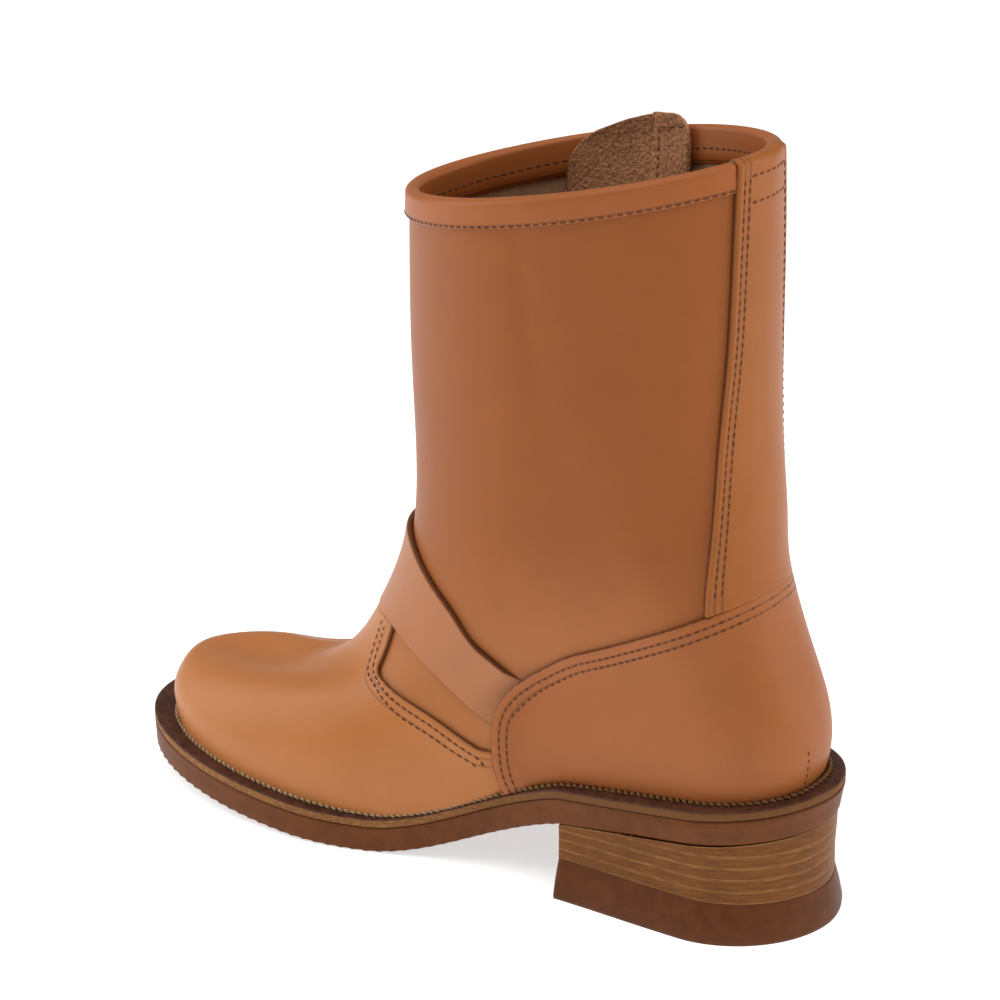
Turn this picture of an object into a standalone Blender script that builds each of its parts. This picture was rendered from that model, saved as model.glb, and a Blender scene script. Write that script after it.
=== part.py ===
# Engineer boot, right foot.
# +Y points to the toe, +Z up, -X is the inner (medial) side.
# The sizes below are in millimetres, and MM turns them into metres.
# s runs along the foot from the back of the outsole, and y = s - LENGTH / 2.

import math

import bmesh
import bpy
import numpy as np

MM = 0.001

# Outsole plan
LENGTH = 300.0
HEEL_HALF = 36.5
HEEL_STATION = 42.0
WAIST_MEDIAL = 33.6
WAIST_LATERAL = 36.0
WAIST_STATION = 122.0
BALL_MEDIAL = 51.8
BALL_MEDIAL_STATION = 209.0
BALL_LATERAL = 53.0
BALL_LATERAL_STATION = 190.0
HEEL_ROUND = 1.9
TOE_ROUND = 2.12
TOE_IN = 2.6

# Sole heights
SOLE_THICK = 10.4
WELT_THICK = 3.6
BREAST_S = 95.4
BREAST_Z = 28.5
BACK_Z = 41.4
SHANK_SLOPE = -0.28
FLAT_START = 176.0
FLAT_END = 181.0
TOE_SPRING = 10.0
TOE_CURVE = 1.5
SOLE_BEVEL = 1.6

# Heel: a rubber top lift below five leather lifts, the last one a wedge
TOP_LIFT = 14.8
LIFT_FRONT = 3.9
LIFT_BACK = 4.6
LIFT_COUNT = 4
WEDGE_FRONT = 66.0
HEEL_BOTTOM_HALF = 39.6
HEEL_WAIST_HALF = 35.4
HEEL_BACK_BOTTOM = 0.8
HEEL_BACK_WAIST = 3.6
HEEL_FOOT = 3.0
HEEL_WAIST_TOP = 24.0
HEEL_WAIST_IN = 0.3
HEEL_SEAT_IN = 1.4
HEEL_SEAT_BACK = 2.2
HEEL_BREAST_IN = 1.2

# Leather and clearances
GAP = 0.3
FOOT_GAP = 0.7
WALL = 2.2
PANEL_GAP = 0.6
PANEL = 1.5
BINDING = 1.3
BINDING_DROP = 9.0
ROLL = 2.0
STRAP = 2.6
STRAP_LOW = 0.85
ANCHOR = 1.8
INSOLE_TOP = 3.0
FLAP = 1.8
WIRE = 1.4
PRONG = 0.8

# The upper's outer surface. Each row is one closed ring through a back point (yb, zb)
# and a front point (yf, zf). sh and wh place the half-width at the heel, sb, wbm and wbl
# at the ball or the shaft's widest place (medial, lateral), pm and pl pinch the waist,
# dip says how far the ring follows the sole's own curve, nb and nf round its two ends,
# and cx and cf shift its middle sideways at the back and at the front.
# The columns are shares of the sizes named in UPPER_SIZES.
RIM_Z = 280.4
FRONT_IN = 4.4
UPPER_COLUMNS = ("yb", "zb", "yf", "zf", "sh", "wh", "sb", "wbm", "wbl", "pm", "pl",
                 "dip", "nb", "nf", "cx", "cf")
UPPER_SIZES = (LENGTH, RIM_Z, LENGTH, RIM_Z, LENGTH, HEEL_HALF, LENGTH, BALL_MEDIAL, BALL_LATERAL,
               WAIST_MEDIAL, WAIST_LATERAL, 1.0, 1.0, 1.0, FRONT_IN, FRONT_IN)
UPPER_ROWS = (
    (0.035, 0.196, 0.950, 0.082, 0.143, 0.751, 0.677, 0.819, 0.815, 0.18, 0.08, 1.00, 2.20, 2.10, 0.00, -1.14),
    (0.029, 0.235, 0.953, 0.121, 0.143, 0.800, 0.667, 0.842, 0.792, 0.18, 0.08, 0.80, 2.20, 2.20, 0.00, -1.14),
    (0.034, 0.278, 0.947, 0.143, 0.143, 0.825, 0.650, 0.786, 0.700, 0.15, 0.08, 0.60, 2.20, 2.20, 0.00, -1.14),
    (0.047, 0.321, 0.934, 0.159, 0.150, 0.816, 0.613, 0.672, 0.560, 0.12, 0.08, 0.40, 2.20, 2.00, 0.00, -1.02),
    (0.064, 0.367, 0.887, 0.159, 0.160, 0.811, 0.563, 0.587, 0.515, 0.09, 0.06, 0.25, 2.20, 1.70, 0.00, -0.80),
    (0.080, 0.421, 0.802, 0.165, 0.177, 0.836, 0.513, 0.552, 0.520, 0.06, 0.03, 0.10, 2.10, 1.60, 0.00, -0.57),
    (0.091, 0.478, 0.703, 0.211, 0.193, 0.863, 0.467, 0.583, 0.585, 0.03, 0.00, 0.00, 2.00, 1.60, 0.00, -0.34),
    (0.094, 0.535, 0.632, 0.309, 0.217, 0.937, 0.417, 0.656, 0.660, 0.00, 0.00, 0.00, 2.00, 1.80, 0.00, -0.23),
    (0.098, 0.599, 0.585, 0.424, 0.250, 1.014, 0.373, 0.730, 0.723, 0.00, 0.00, 0.00, 2.00, 1.90, 0.00, -0.11),
    (0.103, 0.685, 0.573, 0.550, 0.283, 1.118, 0.357, 0.807, 0.789, 0.00, 0.00, 0.00, 2.00, 1.90, 0.00, 0.00),
    (0.105, 0.785, 0.572, 0.670, 0.307, 1.222, 0.350, 0.882, 0.862, 0.00, 0.00, 0.00, 2.00, 1.90, 0.00, 0.00),
    (0.104, 0.892, 0.567, 0.794, 0.317, 1.315, 0.347, 0.946, 0.925, 0.00, 0.00, 0.00, 1.95, 1.80, -0.11, -0.45),
    (0.103, 1.000, 0.550, 0.913, 0.320, 1.441, 0.340, 1.015, 1.019, 0.00, 0.00, 0.00, 1.75, 1.95, -0.14, -0.82),
)
RIM_T = len(UPPER_ROWS) - 1.0
RIM_STEP = 33.0

# Panel edges in surface coordinates: t climbs from the welt to the rim, and v goes
# round from the back centre (0) over the medial side to the front (0.5).
# TURN is how many steps of t one round of v is as long as.
TURN = 18.0
COUNTER_FRONT = ((0.0, 0.2030), (0.5, 0.2071), (1.6, 0.2117), (2.6, 0.2137), (3.5, 0.2110), (4.3, 0.2056),
                 (6.0, 0.2030))
COUNTER_TOP = ((0.0, 5.60), (0.30, 5.54), (0.60, 5.31), (0.81, 5.06), (0.93, 4.72), (1.0, 4.15))
VAMP_EDGE = ((0.0, 0.2060), (0.7, 0.2108), (1.4, 0.2165), (2.0, 0.2320), (2.6, 0.2510), (3.75, 0.2960), (4.6, 0.3330),
             (5.4, 0.3740), (6.06, 0.4060), (6.6, 0.4205))
STRAP_UPPER = ((4.10, 0.2105), (5.34, 0.2593), (6.19, 0.3010), (6.84, 0.3335), (7.30, 0.3660), (7.72, 0.4046),
               (8.05, 0.4480), (8.20, 0.5000))
STRAP_LOWER = ((2.40, 0.2170), (3.20, 0.2385), (4.20, 0.2690), (5.00, 0.3000), (5.67, 0.3351), (6.25, 0.3750),
               (6.75, 0.4250), (7.00, 0.5000))
BACKSTAY_HALF = ((5.5, 0.0665), (7.0, 0.0680), (8.75, 0.0610), (9.8, 0.0515), (11.05, 0.0465), (12.5, 0.0400))
BACKSTAY_FOOT = 5.90
BACKSTAY_INSIDE = 14.0
VAMP_TOP = 6.6
VAMP_BOW = 0.22

# Slit, gusset flap and collar strap on the lateral side
SLIT_V = 0.7708
SLIT_HALF = 0.0030
SLIT_BOTTOM = 10.35
BINDING_PART = 0.0030
FLAP_FRONT = 0.652
FLAP_BACK = 0.792
FLAP_BOTTOM = 10.1
FLAP_RISE = 7.0
FLAP_STAND = 2.6
FLAP_LEAN = 4.0
COLLAR_STRAP_T = 10.95
COLLAR_STRAP_HALF = 0.30
COLLAR_STRAP_START = 0.630
COLLAR_STRAP_TURN = 0.300


def spline(x, y, at):
    """Natural cubic spline through the rows y at the places x."""
    x = np.asarray(x, float)
    y = np.asarray(y, float)
    n = len(x)
    h = np.diff(x)
    matrix = np.zeros((n, n))
    right = np.zeros(y.shape)
    matrix[0, 0] = 1.0
    matrix[-1, -1] = 1.0
    for i in range(1, n - 1):
        matrix[i, i - 1] = h[i - 1]
        matrix[i, i] = 2.0 * (h[i - 1] + h[i])
        matrix[i, i + 1] = h[i]
        right[i] = 6.0 * ((y[i + 1] - y[i]) / h[i] - (y[i] - y[i - 1]) / h[i - 1])
    bend = np.linalg.solve(matrix, right)
    k = np.clip(np.searchsorted(x, at, side="right") - 1, 0, n - 2)
    a = (x[k + 1] - at)[:, None]
    b = (at - x[k])[:, None]
    hk = h[k][:, None]
    low = bend[k] * a ** 3 / (6 * hk) + (y[k] / hk - bend[k] * hk / 6) * a
    high = bend[k + 1] * b ** 3 / (6 * hk) + (y[k + 1] / hk - bend[k + 1] * hk / 6) * b
    return low + high


def curve(rows, at):
    """Points of a smooth curve through (t, v) rows; at goes from 0 to 1 along its length."""
    rows = np.asarray(rows, float)
    step = np.hypot(np.diff(rows[:, 0]), TURN * np.diff(rows[:, 1]))
    knots = np.concatenate([[0.0], np.cumsum(step)])
    return spline(knots / knots[-1], rows, np.asarray(at, float))


def table(rows, at):
    """Second column of a smooth line through rows where the first column has the value at."""
    rows = np.asarray(rows, float)
    at = np.asarray(at, float)
    flat = np.clip(at.reshape(-1), rows[0, 0], rows[-1, 0])
    return spline(rows[:, 0], rows[:, 1:], flat).reshape(at.shape)


def smooth(u):
    """Ease from 0 to 1."""
    u = np.clip(u, 0, 1)
    return u * u * (3.0 - 2.0 * u)


def sole_half(s, side):
    """Half-width of the outsole at s; side is -1 medial, 1 lateral."""
    s = np.asarray(s, float)
    medial = side < 0
    waist = WAIST_MEDIAL if medial else WAIST_LATERAL
    ball = BALL_MEDIAL if medial else BALL_LATERAL
    station = BALL_MEDIAL_STATION if medial else BALL_LATERAL_STATION
    back = np.clip((HEEL_STATION - s) / HEEL_STATION, 0, 1)
    front = np.clip((s - station) / (LENGTH - station), 0, 1)
    heel = HEEL_HALF * (1 - back ** HEEL_ROUND) ** (1 / HEEL_ROUND)
    to_waist = (s - HEEL_STATION) / (WAIST_STATION - HEEL_STATION)
    to_ball = (s - WAIST_STATION) / (station - WAIST_STATION)
    middle = HEEL_HALF + (waist - HEEL_HALF) * smooth(to_waist) + (ball - waist) * smooth(to_ball)
    toe = ball * (1 - front ** TOE_ROUND) ** (1 / TOE_ROUND)
    return np.where(s < HEEL_STATION, heel, np.where(s < station, middle, toe))


def sole_middle(s):
    """Sideways shift of the sole's centre line."""
    u = np.clip((np.asarray(s, float) - BALL_MEDIAL_STATION) / (LENGTH - BALL_MEDIAL_STATION), 0, 1)
    return -TOE_IN * u * u


def sole_under(s):
    """Height of the outsole's underside: sloped heel seat, shank, flat tread, toe spring."""
    s = np.asarray(s, float)
    slope = (BREAST_Z - BACK_Z) / BREAST_S
    seat = BACK_Z + slope * s
    run = FLAT_START - BREAST_S
    u = np.clip((s - BREAST_S) / run, 0, 1)
    shank = BREAST_Z * (2 * u ** 3 - 3 * u ** 2 + 1) + SHANK_SLOPE * run * (u ** 3 - 2 * u ** 2 + u)
    toe = TOE_SPRING * np.clip((s - FLAT_END) / (LENGTH - FLAT_END), 0, 1) ** TOE_CURVE
    return np.where(s < BREAST_S, seat, np.where(s < FLAT_START, shank, toe))


def welt_top(s):
    """Height of the welt's upper face."""
    return sole_under(s) + SOLE_THICK + GAP + WELT_THICK


def ring_side(row, side, count):
    """One half of a ring of the upper, from its back point to its front point."""
    c = dict(zip(UPPER_COLUMNS, row))
    q = (1 - np.cos(np.linspace(0, math.pi, count))) / 2
    s = c["yb"] + (c["yf"] - c["yb"]) * q
    ball = c["wbm"] if side < 0 else c["wbl"]
    pinch = c["pm"] if side < 0 else c["pl"]
    back = np.clip((c["sh"] - s) / (c["sh"] - c["yb"]), 0, 1)
    front = np.clip((s - c["sb"]) / (c["yf"] - c["sb"]), 0, 1)
    u = np.clip((s - c["sh"]) / (c["sb"] - c["sh"]), 0, 1)
    heel = c["wh"] * (1 - back ** c["nb"]) ** (1 / c["nb"])
    middle = c["wh"] + (ball - c["wh"]) * smooth(u) - pinch * 16 * (u * (1 - u)) ** 2
    toe = ball * (1 - front ** c["nf"]) ** (1 / c["nf"])
    half = np.where(s < c["sh"], heel, np.where(s < c["sb"], middle, toe))
    ends = welt_top(c["yb"]) * (1 - q) + welt_top(c["yf"]) * q
    z = c["zb"] * (1 - q) + c["zf"] * q + c["dip"] * (welt_top(s) - ends)
    x = c["cx"] + (c["cf"] - c["cx"]) * q * q + side * half
    return np.stack([x, s, z], 1)


def even(points, count):
    """Place points evenly along a line."""
    step = np.linalg.norm(np.diff(points, axis=0), axis=1)
    run = np.concatenate([[0.0], np.cumsum(step)])
    at = np.linspace(0, run[-1], count)
    return np.stack([np.interp(at, run, points[:, i]) for i in range(3)], 1)


FINE_T = 193
FINE_V = 240


def upper_grid():
    """Fine grid of the upper's outer surface and of its outward normals."""
    t = np.linspace(0, RIM_T, FINE_T)
    rows = spline(np.arange(len(UPPER_ROWS)), np.array(UPPER_ROWS) * np.array(UPPER_SIZES), t)
    grid = np.zeros((FINE_T, 2 * FINE_V + 1, 3))
    for i, row in enumerate(rows):
        grid[i, :FINE_V + 1] = even(ring_side(row, -1, 160), FINE_V + 1)
        grid[i, FINE_V:] = even(ring_side(row, 1, 160), FINE_V + 1)[::-1]
    along = np.gradient(grid, axis=0)
    around = np.empty_like(grid)
    around[:, 1:-1] = grid[:, 2:] - grid[:, :-2]
    around[:, 0] = grid[:, 1] - grid[:, -2]
    around[:, -1] = around[:, 0]
    normal = np.cross(along, around)
    normal /= np.linalg.norm(normal, axis=2, keepdims=True)
    return grid, normal


GRID, NORMAL = upper_grid()


def surface(t, v, off=0.0):
    """Points on the upper at (t, v), moved out by off; above the rim it goes straight up."""
    t, v, off = np.broadcast_arrays(np.asarray(t, float), np.asarray(v, float), off)
    rise = np.clip(t - RIM_T, 0, None) * RIM_STEP
    a = np.clip(t, 0, RIM_T) / RIM_T * (FINE_T - 1)
    b = np.mod(v, 1.0) * 2 * FINE_V
    i = np.clip(a.astype(int), 0, FINE_T - 2)
    j = np.clip(b.astype(int), 0, 2 * FINE_V - 1)
    a = (a - i)[..., None]
    b = (b - j)[..., None]

    def mix(field):
        low = field[i, j] * (1 - b) + field[i, j + 1] * b
        high = field[i + 1, j] * (1 - b) + field[i + 1, j + 1] * b
        return low * (1 - a) + high * a

    normal = mix(NORMAL)
    normal /= np.linalg.norm(normal, axis=-1, keepdims=True)
    point = mix(GRID) + normal * np.asarray(off)[..., None]
    point[..., 2] += rise
    return point


def add_object(name, points, faces, material):
    """Weld equal points, drop flat faces, and make one closed object facing out."""
    key = np.round(np.asarray(points, float) / 1e-5).astype(np.int64)
    _, first, index = np.unique(key, axis=0, return_index=True, return_inverse=True)
    index = index.reshape(-1)
    welded = np.asarray(points, float)[first]
    kept = []
    for face in faces:
        ring = []
        for k in face:
            w = int(index[k])
            if not ring or ring[-1] != w:
                ring.append(w)
        if len(ring) > 1 and ring[0] == ring[-1]:
            ring.pop()
        if len(ring) > 2 and len(set(ring)) == len(ring):
            kept.append(ring)
    mesh = bpy.data.meshes.new(name)
    placed = (welded - np.array([0.0, LENGTH / 2, 0.0])) * MM
    mesh.from_pydata([tuple(p) for p in placed], [], kept)
    form = bmesh.new()
    form.from_mesh(mesh)
    bmesh.ops.triangulate(form, faces=form.faces[:])
    bmesh.ops.recalc_face_normals(form, faces=form.faces[:])
    if form.calc_volume(signed=True) < 0:
        bmesh.ops.reverse_faces(form, faces=form.faces[:])
    form.to_mesh(mesh)
    form.free()
    obj = bpy.data.objects.new(name, mesh)
    mesh.materials.append(MATERIALS[material])
    BOOT.objects.link(obj)
    return obj


def shell(name, outer, inner, material, closed=False, mask=None):
    """Solid between two grids of points; mask drops cells, closed joins last to first."""
    rows, cols = outer.shape[:2]
    points = np.concatenate([outer.reshape(-1, 3), inner.reshape(-1, 3)])
    shift = rows * cols
    cells = cols if closed else cols - 1
    faces = []

    def there(i, j):
        if i < 0 or i >= rows - 1:
            return False
        if closed:
            j = j % cols
        elif j < 0 or j >= cells:
            return False
        return mask is None or bool(mask[i, j])

    for i in range(rows - 1):
        for j in range(cells):
            if not there(i, j):
                continue
            a = i * cols + j
            b = i * cols + (j + 1) % cols
            c = b + cols
            d = a + cols
            faces.append((a, b, c, d))
            faces.append((shift + d, shift + c, shift + b, shift + a))
            for edge, free in (((a, b), not there(i - 1, j)), ((b, c), not there(i, j + 1)),
                               ((c, d), not there(i + 1, j)), ((d, a), not there(i, j - 1))):
                if free:
                    faces.append((edge[1], edge[0], shift + edge[0], shift + edge[1]))
    return add_object(name, points, faces, material)


def tube(name, path, radius, sides, material, normals, closed=False):
    """Round bar along a path."""
    path = np.asarray(path, float)
    count = len(path)
    if closed:
        ahead = np.roll(path, -1, axis=0) - np.roll(path, 1, axis=0)
    else:
        ahead = np.gradient(path, axis=0)
    ahead /= np.linalg.norm(ahead, axis=1, keepdims=True)
    up = normals - ahead * np.sum(normals * ahead, axis=1, keepdims=True)
    up /= np.linalg.norm(up, axis=1, keepdims=True)
    out = np.cross(ahead, up)
    points = []
    for k in range(sides):
        turn = 2 * math.pi * k / sides
        points.append(path + radius * (out * math.cos(turn) + up * math.sin(turn)))
    grid = np.stack(points, 1).reshape(-1, 3)
    faces = []
    for i in range(count if closed else count - 1):
        for k in range(sides):
            a = i * sides + k
            b = i * sides + (k + 1) % sides
            c = (b + sides) % (count * sides)
            d = (a + sides) % (count * sides)
            faces.append((a, b, c, d))
    if not closed:
        faces.append(tuple(range(sides)))
        faces.append(tuple(range((count - 1) * sides, count * sides))[::-1])
    return add_object(name, grid, faces, material)


def slab(name, s, top, under, across, material):
    """Plate from s rows: top and under give (left x, right x, s, z) for each row."""
    share = np.linspace(0, 1, across)[None, :]

    def grid(rows):
        left, right, along, height = (np.asarray(r, float)[:, None] for r in rows)
        x = left * (1 - share) + right * share
        return np.stack([x, along + 0 * x, height + 0 * x], 2)

    return shell(name, grid(top), grid(under), material)


def ease_rows(start, end, count):
    """Rows that crowd towards both ends."""
    return start + (end - start) * (1 - np.cos(np.linspace(0, math.pi, count))) / 2


def sole_rows():
    """Places along the sole, closer together where its underside bends."""
    bends = np.array((BREAST_S, 104.0, 112.0, 155.0, 164.0, FLAT_START, 180.0, FLAT_END))
    return np.unique(np.concatenate([ease_rows(0, LENGTH, 32), bends]))


def build_outsole():
    s = sole_rows()
    mid = sole_middle(s)
    left = mid - sole_half(s, -1)
    right = mid + sole_half(s, 1)
    # The edge leans in a little at the heel, as on the real sole.
    lean = SOLE_BEVEL * np.clip((BREAST_S - s) / 30.0, 0, 1)
    squeeze = np.clip(s / 12.0, 0, 1)
    under_s = s + lean * (1 - np.clip(s / 30.0, 0, 1))
    top = (left, right, s, sole_under(s) + SOLE_THICK)
    under = (left + lean * squeeze, right - lean * squeeze, under_s, sole_under(s))
    return slab("outsole", s, top, under, 5, "outsole")


def welt_rings():
    """Outer edge of the welt and the ring under the upper's inner face, same count."""
    v = np.linspace(0, 1, 85)[:-1]
    s_all = ease_rows(0, LENGTH, 300)
    edge = []
    for side in (-1, 1):
        line = np.stack([sole_middle(s_all) + side * sole_half(s_all, side), s_all, s_all * 0], 1)
        edge.append(even(line, 43))
    ring = np.concatenate([edge[0][:-1], edge[1][::-1][:-1]])
    inner = surface(0.0, v, -WALL)
    return ring, inner


def build_welt():
    ring, inner = welt_rings()
    grid = np.stack([ring, inner], 0)
    top = grid.copy()
    top[..., 2] = welt_top(grid[..., 1])
    under = grid.copy()
    under[..., 2] = sole_under(grid[..., 1]) + SOLE_THICK + GAP
    return shell("welt", top, under, "welt", closed=True)


def heel_half(s, half, back):
    """Half-width of the heel's D-shaped plan."""
    u = np.clip((HEEL_STATION - s) / (HEEL_STATION - back), 0, 1)
    drawn = HEEL_BREAST_IN * smooth((s - HEEL_STATION) / (BREAST_S - HEEL_STATION))
    return half * (1 - u ** HEEL_ROUND) ** (1 / HEEL_ROUND) - drawn


def heel_plan(z):
    """Half-width and back place of the heel at height z: flared foot, waist, then out again."""
    places = ((0.0, HEEL_BOTTOM_HALF, HEEL_BACK_BOTTOM),
              (HEEL_FOOT, HEEL_BOTTOM_HALF, HEEL_BACK_BOTTOM),
              (TOP_LIFT, HEEL_WAIST_HALF, HEEL_BACK_WAIST),
              (HEEL_WAIST_TOP, HEEL_WAIST_HALF - HEEL_WAIST_IN, HEEL_BACK_WAIST),
              (BACK_Z, HEEL_HALF - HEEL_SEAT_IN, HEEL_SEAT_BACK))
    z_at = [p[0] for p in places]
    return np.interp(z, z_at, [p[1] for p in places]), np.interp(z, z_at, [p[2] for p in places])


def lift_plane(k, s):
    """Height of the k-th joint between lifts."""
    return TOP_LIFT + k * (LIFT_FRONT + (LIFT_BACK - LIFT_FRONT) * (BREAST_S - s) / WEDGE_FRONT)


def heel_slab(name, low, high, front, material):
    """One layer of the heel between two height functions of s."""
    half_low, back_low = heel_plan(float(low(HEEL_STATION)))
    half_high, back_high = heel_plan(float(high(HEEL_STATION)))
    share = (1 - np.cos(np.linspace(0, math.pi / 2, 15))) ** 1.15
    s_low = back_low + (front - back_low) * share
    s_high = back_high + (front - back_high) * share
    w_low = heel_half(s_low, half_low, back_low)
    w_high = heel_half(s_high, half_high, back_high)
    top = (-w_high, w_high, s_high, high(s_high))
    under = (-w_low, w_low, s_low, low(s_low))
    return slab(name, share, top, under, 3, material)


def build_heel():
    half = GAP / 2

    def ground(s):
        return 0.0 * s

    def top_lift(s):
        return 0.0 * s + TOP_LIFT - half

    def seat(s):
        return sole_under(s) - GAP

    def fourth(s):
        # The fourth lift closes against the outsole in front of the wedge.
        return np.where(s > WEDGE_FRONT + half, seat(s), np.minimum(lift_plane(4, s) - half, seat(s)))

    heel_slab("heel_top_lift", ground, top_lift, BREAST_S, "heel_rubber")
    for k in range(LIFT_COUNT - 1):
        heel_slab("heel_lift_%d" % (k + 1), lambda s, k=k: lift_plane(k, s) + half,
                  lambda s, k=k: lift_plane(k + 1, s) - half, BREAST_S, "heel_stack")
    heel_slab("heel_lift_4", lambda s: lift_plane(3, s) + half, fourth, BREAST_S, "heel_stack")
    heel_slab("heel_wedge", lambda s: lift_plane(4, s) + half, seat, WEDGE_FRONT, "heel_stack")


UPPER_T = (0, 0.5, 1.1, 1.7, 2.4, 3.1, 3.8, 4.5, 5.1, 5.6, 6.1, 6.5, 6.8, 7.1, 7.4, 7.7, 8.0, 8.4,
           9.0, 9.7, 10.35, 11.2, 12)


def girth_places():
    """Places round the upper, closer together at the heel and at the toe."""
    ends = np.linspace(-0.078, 0.078, 13)
    sides = np.linspace(0.078, 0.422, 13)[1:-1]
    return np.sort(np.mod(np.concatenate([ends, sides, ends + 0.5, sides + 0.5]), 1.0))


def build_upper():
    v = girth_places()
    v = v[np.abs(v - SLIT_V) > 3 * SLIT_HALF]
    v = np.sort(np.append(v, [SLIT_V - SLIT_HALF, SLIT_V + SLIT_HALF]))
    column = int(np.argmin(np.abs(v - (SLIT_V - SLIT_HALF))))
    tt, vv = np.meshgrid(UPPER_T, v, indexing="ij")
    mask = np.ones((len(UPPER_T) - 1, len(v)), bool)
    for i in range(len(UPPER_T) - 1):
        if UPPER_T[i] >= SLIT_BOTTOM - 0.01:
            mask[i, column] = False
    outer = surface(tt, vv, 0.0)
    inner = surface(tt, vv, -WALL)
    outer[0, :, 2] = welt_top(outer[0, :, 1]) + FOOT_GAP
    inner[0, :, 2] = welt_top(inner[0, :, 1]) + FOOT_GAP
    return shell("upper", outer, inner, "upper", closed=True, mask=mask)


def panel(name, tt, vv, material, low=PANEL_GAP, thick=PANEL):
    """Leather panel lying on the upper."""
    outer = surface(tt, vv, low + thick)
    inner = surface(tt, vv, low)
    for grid in (outer, inner):
        floor = welt_top(grid[..., 1]) + FOOT_GAP
        grid[..., 2] = np.maximum(grid[..., 2], floor)
    return shell(name, outer, inner, material)


def build_counter():
    side = np.array((0.50, 0.62, 0.74, 0.85, 0.93, 1.0))
    a = np.concatenate([-side[::-1], np.linspace(-0.38, 0.38, 11), side])
    b = np.linspace(0, 1, 9)
    bb, aa = np.meshgrid(b, a, indexing="ij")
    tt = bb * table(COUNTER_TOP, np.abs(aa))
    vv = aa * table(COUNTER_FRONT, tt)
    return panel("counter", tt, vv, "counter", low=PANEL_GAP + 0.05)


def build_vamp():
    rows = np.array((0, 0.5, 1.1, 1.7, 2.4, 3.1, 3.8, 4.5, 5.1, 5.6, 6.1, VAMP_TOP))
    side = np.array((0.0, 0.07, 0.14, 0.21, 0.28, 0.34))
    share = np.concatenate([side, np.linspace(0.38, 0.62, 11), 1 - side[::-1]])
    tt, aa = np.meshgrid(rows, share, indexing="ij")
    edge = table(VAMP_EDGE, tt)
    vv = edge + (1 - 2 * edge) * aa
    # The top row bows up over the instep to meet the strap.
    tt = tt + VAMP_BOW * (tt / VAMP_TOP) ** 8 * (1 - (2 * aa - 1) ** 2)
    return panel("vamp", tt, vv, "vamp", low=PANEL_GAP + 0.05)


def strap_place(u, w):
    """(t, v) on the instep strap: u from 0 medial to 1 lateral, w from 0 low to 1 high."""
    u = np.asarray(u, float)
    fold = np.where(u > 0.5, 1 - u, u) * 2
    at = np.clip(fold.reshape(-1), 0, 1)
    upper = curve(STRAP_UPPER, at).reshape(fold.shape + (2,))
    lower = curve(STRAP_LOWER, at).reshape(fold.shape + (2,))
    place = lower + (upper - lower) * np.asarray(w, float)[..., None]
    v = np.where(u > 0.5, 1 - place[..., 1], place[..., 1])
    return place[..., 0], v


def band_point(place, u, w, off):
    """Point on a strap's path at height off over the upper."""
    u, w, off = np.broadcast_arrays(np.asarray(u, float), np.asarray(w, float), np.asarray(off, float))
    t, v = place(u, w)
    return surface(t, v, off)


def lift_line(u, start, end, low, high):
    """Height of a strap's underside: low before start, high from end on."""
    return low + (high - low) * smooth((u - start) / (end - start))


def build_strap(name, place, u, hole, rise, material):
    """Strap with one prong hole at u index hole; rise gives its underside."""
    w = np.array((0.0, 0.20, 0.43, 0.57, 0.80, 1.0))
    uu, ww = np.meshgrid(u, w, indexing="ij")
    low = rise(uu)
    outer = band_point(place, uu, ww, low + STRAP)
    inner = band_point(place, uu, ww, low)
    mask = np.ones((len(u) - 1, len(w) - 1), bool)
    mask[hole, 2] = False
    return shell(name, outer, inner, material, mask=mask)


def buckle(prefix, place, bar_u, roller_u, hole_u, hole_low, wide):
    """Frame of round wire and its prong, standing over the strap."""
    low_bar = STRAP_LOW + ANCHOR - 0.45
    high_bar = STRAP_LOW + STRAP + WIRE + 0.55
    corners = ((bar_u, -wide, low_bar), (roller_u, -wide, high_bar),
               (roller_u, 1 + wide, high_bar), (bar_u, 1 + wide, low_bar))
    path = []
    for k in range(4):
        a = np.array(corners[k])
        b = np.array(corners[(k + 1) % 4])
        for share in (0.1, 0.5, 0.9):
            path.append(a + (b - a) * share)
    path = np.array(path)
    points = band_point(place, path[:, 0], path[:, 1], path[:, 2])
    above = band_point(place, path[:, 0], path[:, 1], path[:, 2] + 1.0)
    tube(prefix + "_buckle", points, WIRE, 8, "metal", above - points, closed=True)
    step = hole_u - roller_u
    prong = np.array(((hole_u + 0.10 * step, 0.5, hole_low), (hole_u - 0.15 * step, 0.5, hole_low + 3.0),
                      (hole_u - 0.55 * step, 0.5, high_bar + 2.1), (roller_u, 0.5, high_bar + 2.8),
                      (roller_u - 0.5 * step, 0.5, high_bar + 2.4)))
    points = band_point(place, prong[:, 0], prong[:, 1], prong[:, 2])
    above = band_point(place, prong[:, 0], prong[:, 1], prong[:, 2] + 1.0)
    tube(prefix + "_prong", points, PRONG, 8, "metal", above - points)


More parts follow.
